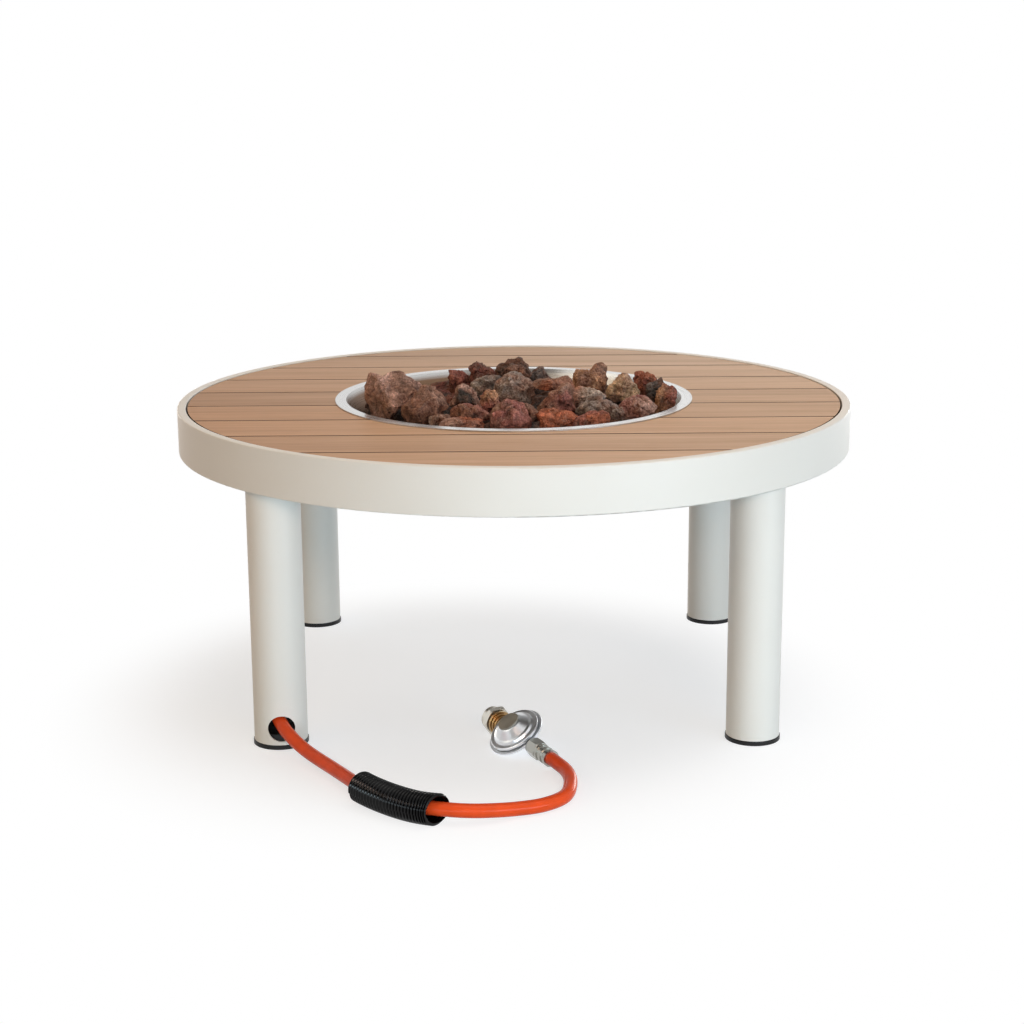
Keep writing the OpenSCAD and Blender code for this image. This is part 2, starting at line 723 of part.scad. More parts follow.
// Round knob with finger grooves, a pointer rib on its face and a blind socket for the spindle
module control_knob() {
    groove_count = 10;
    color("black") difference() {
        union() {
            along_minus_x([knob_x, valve_y, valve_z]) cylinder(h = knob_len, d = knob_d);
            translate([knob_x - knob_len - 1.5, valve_y - 2, valve_z])
                cube([1.5 + eps, 4, knob_d / 2 - 3]);
        }
        along_minus_x([knob_x + eps, valve_y, valve_z])
            cylinder(h = knob_socket, d = spindle_d + 2 * thread_clear);
        for (i = [0:groove_count - 1])
            translate([0, valve_y, valve_z]) rotate([(i + 0.5) * 360 / groove_count, 0, 0])
                along_minus_x([knob_x - 5, 0, knob_d / 2 + 2]) cylinder(h = knob_len, d = 8);
    }
}

// Hose union: hexagon nut over a nipple, then a crimped ferrule
module union_nut(clearance) {
    difference() {
        rotate([0, 90, 0]) hex_prism(union_af, union_len);
        along_x([-eps, 0, 0]) cylinder(h = nipple_len + 2 * eps, d = nipple_d + 2 * clearance);
        along_x([0, 0, 0]) cylinder(h = union_len + eps, d = flow_d);
    }
}

module union_ferrule() {
    waist = 1;
    ring_len = 4;
    difference() {
        union() {
            along_x([0, 0, 0]) cylinder(h = ferrule_len, d = ferrule_d - 2 * waist);
            for (x = [0, (ferrule_len - ring_len) / 2, ferrule_len - ring_len])
                along_x([x, 0, 0]) cylinder(h = ring_len, d = ferrule_d);
        }
        along_x([-eps, 0, 0]) cylinder(h = ferrule_len + 2 * eps, d = flow_d);
    }
}

module at_valve_inlet() {
    translate([valve_x, valve_y - valve_w / 2, valve_z]) rotate([0, 0, -90]) children();
}

module inlet_nut() {
    color("silver") at_valve_inlet() union_nut(thread_clear);
}

module inlet_ferrule() {
    color("silver") at_valve_inlet() translate([union_len, 0, 0]) union_ferrule();
}

// Copper tube from the valve down and across to the injector
gas_bend_r = 2 * gas_tube_d;
gas_tube_wall = 1;
gas_tube_sides = 10;
valve_out = valve_x + valve_w / 2;
gas_tube_drop = valve_z - gas_tube_z;
gas_lead = tube_nut_len + 16;
gas_slope = 95;
gas_level = gas_lead + gas_slope + 11;
gas_tube_route = concat(
    [for (x = [0, tube_nut_len + 8]) [valve_out + x, valve_y, valve_z]],
    [for (s = [0.15:0.14:0.99])
        [valve_out + gas_lead + gas_slope * s, valve_y, valve_z - gas_tube_drop * (1 - cos(180 * s)) / 2]],
    [[valve_out + gas_level, valve_y, gas_tube_z]],
    [for (turn = [90:-22.5:0])
        [gas_bend_r * (cos(turn) - 1), valve_y + gas_bend_r * (sin(turn) - 1), gas_tube_z]],
    [[0, elbow_reach, gas_tube_z]]);

module gas_tube() {
    radii = [for (p = gas_tube_route) gas_tube_d / 2];
    bore_r = gas_tube_d / 2 - gas_tube_wall;
    color("peru") swept_pipe(gas_tube_route, radii, bore_r, gas_tube_sides, [0, 0, 1]);
}

module tube_nut() {
    difference() {
        hex_prism(tube_nut_af, tube_nut_len);
        translate([0, 0, -eps]) cylinder(h = tube_nut_len + 2 * eps, d = gas_tube_d + 2 * plug_clear);
    }
}

module tube_nuts() {
    color("goldenrod") {
        along_x([valve_out, valve_y, valve_z]) tube_nut();
        translate([0, elbow_reach, gas_tube_z]) rotate([-90, 0, 0]) tube_nut();
    }
}

// Injector under the mixing tube
module injector_elbow() {
    nut_z = strap_top - bracket_t - elbow_nut_h;
    color("goldenrod") difference() {
        union() {
            translate([0, 0, strap_top]) cylinder(h = elbow_h, d = elbow_d);
            translate([0, 0, gas_tube_z]) rotate([-90, 0, 0]) cylinder(h = elbow_reach, d = elbow_d - 3);
            translate([0, 0, nut_z]) cylinder(h = strap_top - nut_z + eps, d = elbow_d / 2);
            translate([0, 0, nut_z]) hex_prism(elbow_d, elbow_nut_h);
        }
        translate([0, 0, gas_tube_z]) rotate([-90, 0, 0]) cylinder(h = elbow_reach + eps, d = gas_tube_d - 2);
        translate([0, 0, gas_tube_z]) cylinder(h = elbow_h, d = gas_tube_d - 2);
    }
}

module gas_jet() {
    tip_r = 2.5;
    color("goldenrod") difference() {
        translate([0, 0, elbow_top]) cylinder(h = elbow_gap + jet_rise, r1 = jet_d / 2, r2 = tip_r);
        translate([0, 0, elbow_top - eps]) cylinder(h = elbow_gap + jet_rise + 2 * eps, d = 1.2);
    }
}

module injector_strap() {
    low = strap_top - bracket_t;
    flange_z = ring_bottom - bracket_t;
    foot_len = collar_r - strap_x - 1;
    color("silver") difference() {
        union() {
            translate([-strap_x - bracket_t, -bracket_w / 2, low])
                cube([2 * (strap_x + bracket_t), bracket_w, bracket_t]);
            for (turn = [0, 180]) rotate([0, 0, turn]) translate([strap_x, -bracket_w / 2, 0]) {
                translate([0, 0, low]) cube([bracket_t, bracket_w, ring_bottom - low]);
                translate([0, 0, flange_z]) cube([foot_len, bracket_w, bracket_t]);
            }
        }
        translate([0, 0, low - eps]) cylinder(h = bracket_t + 2 * eps, d = elbow_d / 2 + 2 * plug_clear);
        holes(slat_screw_at, screw_head_d + 1, flange_z - eps, bracket_t + 2 * eps);
        holes(strap_screw_at, small_screw_d + 2 * plug_clear, flange_z - eps, bracket_t + 2 * eps);
    }
}

module bracket_screws() {
    color("silver") for (place = concat(valve_screw_at, strap_screw_at))
        head_down_screw(place, ring_bottom - bracket_t, small_screw_d, bracket_t + ring_t - 0.5);
}

// Gas hose, sleeve and the pieces on its end
module hose_in_leg() {
    leg_exit = leg_point(hose_leg_route[len(hose_leg_route) - 1]);
    inlet = [valve_x, valve_y - valve_w / 2 - union_len - ferrule_len, valve_z];
    way = inlet - leg_exit;
    route = concat([for (p = hose_leg_route) leg_point(p)],
        [for (p = hose_run) [leg_exit[0] + p[0] * way[0], leg_exit[1] + p[1] * way[1], valve_z + p[2]]],
        [inlet]);
    radii = [for (p = route) hose_d / 2];
    color("orangered") swept_pipe(route, radii, hose_bore / 2, hose_sides, [1, 0, 0]);
}

module hose_free() {
    route = concat([for (p = hose_floor_route) leg_point(p)],
        [hose_end + hose_straight * reg_out_dir, hose_end]);
    radii = [for (p = route) hose_d / 2];
    color("orangered") swept_pipe(route, radii, hose_bore / 2, hose_sides, [0, 0, 1]);
}

module hose_sleeve() {
    route = [for (p = hose_floor_route)
        [p[0] - leg_x + sleeve_shift[0], p[1] - leg_y + sleeve_shift[1], sleeve_z]];
    steps = 2 * rib_count;
    span = sleeve_last - sleeve_first;
    axis = [for (i = [0:steps]) route_curve(route, sleeve_first + span * i / steps)];
    radii = [for (i = [0:steps]) sleeve_d / 2 - (i % 2 == 0 ? rib_h : 0)];
    color("black") swept_pipe(axis, radii, sleeve_bore_r, sleeve_sides, [0, 0, 1]);
}

reg_at = [reg_from_leg[0] - leg_x, reg_from_leg[1] - leg_y, reg_z];
reg_out_dir = [cos(reg_heading) * cos(reg_dip), sin(reg_heading) * cos(reg_dip), -sin(reg_dip)];
hose_end = reg_at + (outlet_face + union_len + ferrule_len) * reg_out_dir;

module at_regulator() {
    translate(reg_at) rotate([0, 0, reg_heading]) rotate([0, reg_dip, 0])
        rotate([reg_roll, 0, 0]) children();
}

module hose_nut() {
    color("silver") at_regulator() translate([outlet_face, 0, 0]) union_nut(thread_clear);
}

module hose_ferrule() {
    color("silver") at_regulator() translate([outlet_face + union_len, 0, 0]) union_ferrule();
}

// Lower housing with its chamber, the flow passage and the outlet nipple
module regulator_body() {
    base_r = 12;
    base_z = -9;
    waist_r = 20;
    brim_t = 3;
    color("silver") at_regulator() difference() {
        union() {
            rotate_extrude() polygon([[0, base_z], [base_r, base_z], [waist_r, 0],
                [reg_r - 2, reg_joint_z - brim_t], [reg_r, reg_joint_z - brim_t + 1],
                [reg_r, reg_joint_z], [0, reg_joint_z]]);
            along_x([0, 0, 0]) cylinder(h = outlet_face, d = nipple_d + 2);
            along_x([outlet_face - eps, 0, 0]) cylinder(h = nipple_len, d = nipple_d);
            along_minus_x([0, 0, 0]) cylinder(h = -inlet_face, d = tail_d + 4);
        }
        translate([0, 0, reg_joint_z - 2]) cylinder(h = 3, r = waist_r);
        translate([0, 0, reg_joint_z]) cylinder(h = tail_d, r = reg_r + 0.5);
        along_x([inlet_face - eps, 0, 0])
            cylinder(h = outlet_face + nipple_len - inlet_face + 1, d = flow_d);
        translate([waist_r / 2, 0, 0]) cylinder(h = reg_joint_z, d = 3);
    }
}

// Domed cover, pressed from sheet, with a step near its brim and an opening for the cap
module regulator_cover() {
    foot = reg_joint_z + diaphragm_t;
    cone_z = foot + 5.5;
    top_z = foot + cover_h;
    neck_r = cap_d / 2 - 1.5;
    color("lightgray") at_regulator() rotate_extrude() polygon([
        [cover_r, foot], [cover_r, foot + 2.5], [cover_r - 1, foot + 3.2],
        [cover_r - 5, foot + 3.2], [cover_r - 6.5, cone_z], [cover_r - 9, cone_z + 1],
        [neck_r + 2.5, top_z - 1], [neck_r + 0.6, top_z], [neck_r, top_z], [neck_r, top_z - cover_t],
        [neck_r + 1.5, top_z - cover_t - 1], [cover_r - 10, cone_z - cover_t + 1],
        [cover_r - 6.5 - cover_t, cone_z - cover_t], [cover_r - 5 - cover_t, foot + 2],
        [cover_r - 6, foot]]);
}

module regulator_cap() {
    top_z = reg_joint_z + diaphragm_t + cover_h;
    color("dimgray") at_regulator() rotate_extrude() polygon([[0, top_z], [cap_d / 2, top_z],
        [cap_d / 2, top_z + 0.8], [cap_d / 2 - 0.8, top_z + 1.6], [0, top_z + 1.6]]);
}

module regulator_diaphragm() {
    color("black") at_regulator() translate([0, 0, reg_joint_z + clamp_clear])
        cylinder(h = diaphragm_t - 2 * clamp_clear, r = cover_r - 1.5);
}

// Spring between the diaphragm and the cap
module regulator_spring() {
    turns = 5;
    wire_d = 1.4;
    coil_r = 7;
    steps = 10 * turns;
    low = reg_joint_z + diaphragm_t + wire_d / 2;
    rise = cover_h - wire_d;
    route = [for (i = [0:steps]) let (turn = 360 * turns * i / steps)
        [coil_r * cos(turn), coil_r * sin(turn), low + rise * i / steps]];
    color("silver") at_regulator() swept_rod(route, wire_d / 2, 6, [0, 0, 1]);
}

// Brass tail in the inlet, with rings that step up to the coupling nut and a head that the nut bears on
module regulator_inlet() {
    head_x = coupling_face - coupling_back;
    collar_len = inlet_face - coupling_face - 1;
    ring_len = collar_len / 4;
    color("goldenrod") at_regulator() difference() {
        union() {
            for (i = [0:2]) along_minus_x([inlet_face - collar_len * i / 3, 0, 0])
                cylinder(h = ring_len, d = tail_d + 8 + 3 * i);
            along_minus_x([inlet_face, 0, 0]) cylinder(h = collar_len, d1 = tail_d + 5, d2 = tail_d + 9);
            along_minus_x([inlet_face, 0, 0]) cylinder(h = inlet_face - head_x + eps, d = tail_d);
            along_minus_x([head_x - seat_gap, 0, 0])
                cylinder(h = tail_head_len, d1 = tail_head_d, d2 = tail_d);
            along_minus_x([head_x + eps, 0, 0]) cylinder(h = seat_gap + 2 * eps, d = tail_d);
        }
        along_minus_x([inlet_face + eps, 0, 0])
            cylinder(h = inlet_face - head_x + seat_gap + tail_head_len + 2, d = flow_d);
    }
}

// Hexagon nut with a round shank behind it
module coupling_nut() {
    color("silver") at_regulator() difference() {
        union() {
            along_minus_x([coupling_face, 0, 0]) hex_prism(coupling_af, coupling_hex_len);
            along_minus_x([coupling_face, 0, 0]) cylinder(h = coupling_len, d = coupling_shank_d);
        }
        along_minus_x([coupling_face + eps, 0, 0]) cylinder(h = coupling_len, d = tail_d + 2 * run_clear);
        along_minus_x([coupling_face - coupling_back, 0, 0]) cylinder(h = coupling_len, d = coupling_bore);
        along_minus_x([coupling_face - coupling_back, 0, 0])
            cylinder(h = coupling_len - coupling_back - thread_len, d = coupling_bore + 2 * thread_relief);
    }
}

rim_ring();
slat_ledge();
bowl_collar();
frame_spokes();
leg_plates();
leg_plugs();
leg_bolts();
slat(-4, 0);  // slat_1
slat(-3, 0);  // slat_2
slat(-2, 0);  // slat_3
slat(-1, -1);  // slat_4_left
slat(-1, 1);  // slat_4_right
slat(0, -1);  // slat_5_left
slat(0, 1);  // slat_5_right
slat(1, -1);  // slat_6_left
slat(1, 1);  // slat_6_right
slat(2, 0);  // slat_7
slat(3, 0);  // slat_8
slat(4, 0);  // slat_9
slat_screws();
leg_with_hose();  // leg_front_left
leg(1);  // leg_front_right
leg(2);  // leg_back_left
leg(3);  // leg_back_right
foot(0);  // foot_front_left
foot(1);  // foot_front_right
foot(2);  // foot_back_left
foot(3);  // foot_back_right
burner_bowl();
burner_ring();
mixing_tube();
burner_locknut();
lava_rocks_lower();
lava_rocks_upper();
valve_bracket();
valve_body();
valve_locknut();
valve_spindle();
control_knob();
inlet_nut();
inlet_ferrule();
gas_tube();
tube_nuts();
injector_elbow();
gas_jet();
injector_strap();
bracket_screws();
hose_in_leg();
hose_free();
hose_sleeve();
hose_ferrule();
hose_nut();
regulator_body();
regulator_cover();
regulator_cap();
regulator_diaphragm();
regulator_spring();
regulator_inlet();
coupling_nut();
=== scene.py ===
import json
import math

import bmesh
import bpy
from mathutils import Matrix, Vector, noise


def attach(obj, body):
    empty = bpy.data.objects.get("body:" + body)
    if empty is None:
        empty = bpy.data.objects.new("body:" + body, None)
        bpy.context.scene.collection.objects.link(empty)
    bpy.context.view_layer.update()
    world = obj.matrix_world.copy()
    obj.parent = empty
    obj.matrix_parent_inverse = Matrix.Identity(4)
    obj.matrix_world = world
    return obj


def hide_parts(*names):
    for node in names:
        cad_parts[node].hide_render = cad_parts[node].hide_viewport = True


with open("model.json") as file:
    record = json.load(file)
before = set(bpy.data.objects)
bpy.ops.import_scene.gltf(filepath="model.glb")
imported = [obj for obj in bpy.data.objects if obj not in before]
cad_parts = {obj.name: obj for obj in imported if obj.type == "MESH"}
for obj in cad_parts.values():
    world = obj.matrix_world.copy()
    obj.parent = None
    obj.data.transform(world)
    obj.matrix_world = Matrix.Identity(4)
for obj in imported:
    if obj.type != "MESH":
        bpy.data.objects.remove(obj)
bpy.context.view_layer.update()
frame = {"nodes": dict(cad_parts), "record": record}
cad = frame["nodes"]
scene = bpy.context.scene
scene.view_settings.view_transform = "Standard"

# Sizes in metres
rim_inner_r = 0.390
leg_inset = 0.0364
board_pitch = 0.09
board_rows = 9
board_edge = 0.0007
bowl_floor = 0.280
bowl_floor_r = 0.175
bowl_mouth = 0.349
bowl_mouth_r = 0.201
bowl_room = 0.004
tint_fade = 0.007
tint_gap = 0.0005
hose_d = 0.015

# Camera
lens_at = Vector((-0.0147, -2.3348, 0.7752))
lens_right = Vector((0.99998, -0.0065, -0.00598))
lens_up = Vector((0.00734, 0.23646, 0.97161))
lens_back = lens_right.cross(lens_up).normalized()
lens_up = lens_back.cross(lens_right).normalized()
turn = Matrix((lens_right, lens_up, lens_back)).transposed().to_4x4()
camera_data = bpy.data.cameras.new("camera")
camera_data.lens = 69.2
camera_data.sensor_width = 36
camera_data.clip_end = 50
camera = bpy.data.objects.new("camera", camera_data)
camera.matrix_world = Matrix.Translation(lens_at) @ turn
scene.collection.objects.link(camera)
scene.camera = camera


# Helpers for materials
def new_material(name):
    made = bpy.data.materials.new(name)
    made.use_nodes = True
    tree = made.node_tree
    return made, tree, tree.nodes["Principled BSDF"]


def add(tree, kind, inputs=None, **settings):
    made = tree.nodes.new(kind)
    for key, value in settings.items():
        setattr(made, key, value)
    for key, value in (inputs or {}).items():
        if isinstance(value, bpy.types.NodeSocket):
            tree.links.new(value, made.inputs[key])
        else:
            made.inputs[key].default_value = value
    return made


def link(tree, source, target):
    tree.links.new(source, target)


def position(tree):
    return add(tree, "ShaderNodeTexCoord").outputs["Object"]


def axes_of(tree, vector):
    return add(tree, "ShaderNodeSeparateXYZ", {"Vector": vector}).outputs


def stretched(tree, vector, scale):
    return add(tree, "ShaderNodeMapping", {"Vector": vector, "Scale": scale}).outputs["Vector"]


def speckle(tree, vector, scale, detail=4.0, roughness=0.5, distortion=0.0):
    inputs = {"Vector": vector, "Scale": scale, "Detail": detail, "Roughness": roughness,
              "Distortion": distortion}
    return add(tree, "ShaderNodeTexNoise", inputs).outputs["Fac"]


def ramp(tree, value, stops):
    made = add(tree, "ShaderNodeValToRGB", {"Fac": value})
    steps = made.color_ramp.elements
    while len(steps) < len(stops):
        steps.new(0.5)
    for step, (place, colour) in zip(steps, stops):
        step.position = place
        step.color = (*colour, 1)
    return made.outputs["Color"]


white = (1, 1, 1, 1)


def grey(level):
    return (level, level, level)


def spread(tree, value, low, high, from_low=0.0, from_high=1.0):
    inputs = {"Value": value, "From Min": from_low, "From Max": from_high, "To Min": low, "To Max": high}
    return add(tree, "ShaderNodeMapRange", inputs).outputs["Result"]


def math_of(tree, kind, first, second=0.0, third=0.0):
    inputs = {0: first, 1: second, 2: third}
    return add(tree, "ShaderNodeMath", inputs, operation=kind).outputs["Value"]


def vector_of(tree, kind, first, second=(0, 0, 0)):
    return add(tree, "ShaderNodeVectorMath", {0: first, 1: second}, operation=kind).outputs


def opaque(colour):
    return colour if isinstance(colour, bpy.types.NodeSocket) else (*colour, 1)


def mixed(tree, factor, first, second, blend="MIX"):
    inputs = {0: factor, 6: opaque(first), 7: opaque(second)}
    return add(tree, "ShaderNodeMix", inputs, data_type="RGBA", blend_type=blend).outputs[2]


def bump(tree, shader, height, strength, distance):
    inputs = {"Height": height, "Strength": strength, "Distance": distance}
    made = add(tree, "ShaderNodeBump", inputs)
    link(tree, made.outputs["Normal"], shader.inputs["Normal"])


# 1 for rays from the viewer, also by way of metal or glass, and 0 for the light that surfaces gather
def seen_directly(tree):
    rays = add(tree, "ShaderNodeLightPath").outputs
    seen = math_of(tree, "MAXIMUM", rays["Is Camera Ray"], rays["Is Glossy Ray"])
    return math_of(tree, "MAXIMUM", seen, rays["Is Transmission Ray"])


def finish_shader(shader, metallic=0.0, roughness=0.5, specular=0.5):
    shader.inputs["Metallic"].default_value = metallic
    shader.inputs["Roughness"].default_value = roughness
    shader.inputs["Specular IOR Level"].default_value = specular


# Powder coat: fine satin skin with a faint drift in its tone
def make_cream():
    made, tree, shader = new_material("cream_coat")
    finish_shader(shader, roughness=0.42, specular=0.45)
    place = position(tree)
    drift = speckle(tree, place, 5.0, 2.0)
    colour = ramp(tree, drift, [(0.3, (0.80, 0.775, 0.715)), (0.7, (0.83, 0.81, 0.755))])
    link(tree, colour, shader.inputs["Base Color"])
    skin = speckle(tree, place, 900.0, 2.0)
    link(tree, spread(tree, skin, 0.36, 0.5), shader.inputs["Roughness"])
    bump(tree, shader, skin, 0.12, 0.0004)
    return made


# Boards: long grain, finer streaks and pores along X, with a tone of its own for each board, painted light
# that makes them warm and darker on the left and paler and greyer towards the right, a painted sheen that
# makes them paler and bluer towards the back, and painted shade on faces that don't face up, which darkens
# the joints
def make_wood():
    made, tree, shader = new_material("hardwood")
    finish_shader(shader, roughness=0.5, specular=0.22)
    place = position(tree)
    parts = axes_of(tree, place)
    from_front = math_of(tree, "ADD", parts["Y"], board_pitch * board_rows / 2)
    row = math_of(tree, "FLOOR", math_of(tree, "DIVIDE", from_front, board_pitch))
    from_middle = math_of(tree, "ABSOLUTE", math_of(tree, "SUBTRACT", row, (board_rows - 1) / 2))
    split_row = math_of(tree, "LESS_THAN", from_middle, 1.5)
    right = math_of(tree, "MULTIPLY", math_of(tree, "GREATER_THAN", parts["X"], 0.0), split_row)
    board = math_of(tree, "MULTIPLY_ADD", right, 20.0, row)
    chance = add(tree, "ShaderNodeTexWhiteNoise", {"W": board}, noise_dimensions="1D").outputs
    moved = vector_of(tree, "MULTIPLY", chance["Color"], (9.0, 5.0, 3.0))["Vector"]
    own = vector_of(tree, "ADD", place, moved)["Vector"]
    wide = speckle(tree, stretched(tree, own, (1.6, 26.0, 26.0)), 1.0, 3.0, 0.5, 0.6)
    fine = speckle(tree, stretched(tree, own, (7.0, 260.0, 260.0)), 1.0, 5.0, 0.6)
    pores = speckle(tree, stretched(tree, own, (45.0, 1400.0, 1400.0)), 1.0, 2.0, 0.5)
    colour = ramp(tree, wide, [(0.30, (0.490, 0.282, 0.145)), (0.5, (0.560, 0.328, 0.174)),
                               (0.70, (0.615, 0.372, 0.208))])
    streak = ramp(tree, fine, [(0.30, grey(0.84)), (0.62, grey(1.04))])
    colour = mixed(tree, 0.8, colour, streak, "MULTIPLY")
    pore = ramp(tree, pores, [(0.28, grey(0.70)), (0.40, grey(1.0))])
    colour = mixed(tree, 0.6, colour, pore, "MULTIPLY")
    tone = ramp(tree, chance["Value"], [(0.0, (0.90, 0.89, 0.88)), (1.0, (1.07, 1.06, 1.06))])
    colour = mixed(tree, 1.0, colour, tone, "MULTIPLY")
    # Painted light: the boards are darker and warmer on the left and paler and cooler towards the right
    painted_side_light = ramp(tree, spread(tree, parts["X"], 0.0, 1.0, -0.38, 0.30), [
        (0.0, (0.92, 0.85, 0.76)), (1.0, (1.07, 1.14, 1.20))])
    colour = mixed(tree, 1.0, colour, painted_side_light, "MULTIPLY")
    # Painted sheen: the boards grow paler and bluer towards the back
    painted_back_sheen = ramp(tree, spread(tree, parts["Y"], 0.0, 1.0, -0.1, 0.36), [
        (0.0, grey(1.0)), (1.0, (1.0, 1.13, 1.36))])
    colour = mixed(tree, 1.0, colour, painted_back_sheen, "MULTIPLY")
    # Painted shade: faces that don't face up, the sides of the boards in the joints and their bevels, are
    # darkened
    facing = add(tree, "ShaderNodeNewGeometry").outputs["Normal"]
    dark = spread(tree, axes_of(tree, facing)["Z"], 0.10, 1.0, 0.25, 0.92)
    painted_joint_shade = add(tree, "ShaderNodeCombineColor", {"Red": dark, "Green": dark, "Blue": dark})
    colour = mixed(tree, 1.0, colour, painted_joint_shade.outputs["Color"], "MULTIPLY")
    link(tree, colour, shader.inputs["Base Color"])
    link(tree, spread(tree, fine, 0.56, 0.44, 0.3, 0.7), shader.inputs["Roughness"])
    relief = math_of(tree, "ADD", fine, math_of(tree, "MULTIPLY", pores, 0.5))
    bump(tree, shader, relief, 0.25, 0.0006)
    return made


# Metal with fine turned or brushed lines round the Z axis, and inside the bowl a heat tint with painted
# reflection, dark brown and strongest on the left, bright in the middle and darker on the right, which
# fades out below the mouth
def make_brushed(name, colour, tints, low, high):
    made, tree, shader = new_material(name)
    finish_shader(shader, metallic=1.0, roughness=low)
    place = position(tree)
    parts = axes_of(tree, place)
    flat = add(tree, "ShaderNodeCombineXYZ", {"X": parts["X"], "Y": parts["Y"]}).outputs["Vector"]
    reach = vector_of(tree, "LENGTH", flat)["Value"]
    angle = math_of(tree, "ARCTAN2", parts["Y"], parts["X"])
    lines = add(tree, "ShaderNodeCombineXYZ", {
        "X": math_of(tree, "MULTIPLY", reach, 900.0),
        "Y": math_of(tree, "MULTIPLY", angle, 3.0),
        "Z": math_of(tree, "MULTIPLY", parts["Z"], 900.0)}).outputs["Vector"]
    brush = speckle(tree, lines, 1.0, 3.0, 0.6)
    cloud = speckle(tree, place, 14.0, 3.0)
    shade = ramp(tree, brush, [(0.3, grey(0.88)), (0.7, grey(1.04))])
    drift = math_of(tree, "MULTIPLY_ADD", cloud, 0.06, parts["X"])
    # Heat tint with painted reflection on the bowl's inner wall, by X: dark brown on the left, bright in
    # the middle, darker on the right
    heat_tint_and_reflection = ramp(tree, spread(tree, drift, 0.0, 1.0, -0.06, 0.16), tints)
    facing = add(tree, "ShaderNodeTexCoord").outputs["Normal"]
    outwards = vector_of(tree, "DOT_PRODUCT", flat, facing)["Value"]
    below_flange = spread(tree, parts["Z"], 1.0, 0.0, bowl_mouth - tint_fade, bowl_mouth - tint_gap)
    above_floor = math_of(tree, "GREATER_THAN", parts["Z"], bowl_floor - tint_gap)
    faces_in = math_of(tree, "LESS_THAN", outwards, 0.01)
    in_bowl = math_of(tree, "MULTIPLY", math_of(tree, "MULTIPLY", below_flange, above_floor), faces_in)
    tinted = mixed(tree, in_bowl, colour, heat_tint_and_reflection)
    link(tree, mixed(tree, 1.0, tinted, shade, "MULTIPLY"), shader.inputs["Base Color"])
    rough = math_of(tree, "MULTIPLY_ADD", brush, 0.6, math_of(tree, "MULTIPLY", cloud, 0.4))
    link(tree, spread(tree, rough, low, high, 0.3, 0.7), shader.inputs["Roughness"])
    bump(tree, shader, brush, 0.08, 0.0003)
    return made


# Cast, plated or drawn metal with a light mottle
def make_metal(name, colour, low, high, scale=220.0, depth=0.08):
    made, tree, shader = new_material(name)
    finish_shader(shader, metallic=1.0, roughness=low)
    place = position(tree)
    grain = speckle(tree, place, scale, 4.0)
    cloud = speckle(tree, place, 35.0, 3.0)
    shade = ramp(tree, cloud, [(0.3, grey(0.84)), (0.7, grey(1.06))])
    link(tree, mixed(tree, 1.0, colour, shade, "MULTIPLY"), shader.inputs["Base Color"])
    link(tree, spread(tree, cloud, low, high, 0.3, 0.7), shader.inputs["Roughness"])
    bump(tree, shader, grain, depth, 0.0003)
    return made


# Moulded plastic or rubber
def make_moulded(name, colour, roughness, specular=0.5, scale=500.0, depth=0.1, drift=0.1):
    made, tree, shader = new_material(name)
    finish_shader(shader, roughness=roughness, specular=specular)
    place = position(tree)
    cloud = speckle(tree, place, 60.0, 3.0)
    shade = ramp(tree, cloud, [(0.3, grey(1.0 - drift)), (0.7, grey(1.0 + drift))])
    link(tree, mixed(tree, 1.0, colour, shade, "MULTIPLY"), shader.inputs["Base Color"])
    grain = speckle(tree, place, scale, 3.0)
    link(tree, spread(tree, grain, roughness - 0.05, roughness + 0.07), shader.inputs["Roughness"])
    bump(tree, shader, grain, depth, 0.0002)
    return made


# Lava rock: the tone of each rock, with rusty and dark patches and open pores, darkened with painted shade
def make_lava():
    made, tree, shader = new_material("lava_rock")
    finish_shader(shader, roughness=0.93, specular=0.25)
    place = position(tree)
    own = add(tree, "ShaderNodeAttribute", attribute_name="tint").outputs["Color"]
    patches = speckle(tree, place, 55.0, 4.0, 0.6)
    rust = ramp(tree, patches, [(0.45, grey(0.0)), (0.68, grey(0.55))])
    colour = mixed(tree, rust, own, (0.33, 0.135, 0.075))
    ash = ramp(tree, speckle(tree, place, 90.0, 5.0, 0.65), [(0.52, grey(0.0)), (0.75, grey(0.5))])
    colour = mixed(tree, ash, colour, (0.30, 0.25, 0.215))
    coarse = speckle(tree, place, 170.0, 5.0, 0.7)
    crust = ramp(tree, coarse, [(0.34, grey(0.5)), (0.66, grey(1.4))])
    colour = mixed(tree, 0.8, colour, crust, "MULTIPLY")
    grain = speckle(tree, place, 480.0, 4.0, 0.7)
    salt = ramp(tree, grain, [(0.32, grey(0.4)), (0.55, grey(1.0)), (0.70, grey(1.8))])
    colour = mixed(tree, 0.85, colour, salt, "MULTIPLY")
    pore_scale = 300.0
    stir = add(tree, "ShaderNodeTexNoise", {"Vector": place, "Scale": pore_scale}).outputs["Color"]
    push = vector_of(tree, "MULTIPLY", stir, (0.004, 0.004, 0.004))["Vector"]
    bent = vector_of(tree, "ADD", place, push)["Vector"]
    cells = add(tree, "ShaderNodeTexVoronoi", {"Vector": bent, "Scale": pore_scale}).outputs["Distance"]
    # Painted shade: the pores are dark at their middles
    pore_shade = ramp(tree, cells, [(0.10, grey(0.10)), (0.34, grey(1.0))])
    porous = ramp(tree, speckle(tree, place, 70.0, 2.0), [(0.42, grey(0.15)), (0.62, grey(0.85))])
    colour = mixed(tree, porous, colour, pore_shade, "MULTIPLY")
    link(tree, colour, shader.inputs["Base Color"])
    depth = math_of(tree, "ADD", math_of(tree, "MULTIPLY", cells, 0.6), math_of(tree, "ADD", grain, coarse))
    bump(tree, shader, depth, 0.9, 0.0022)
    return made


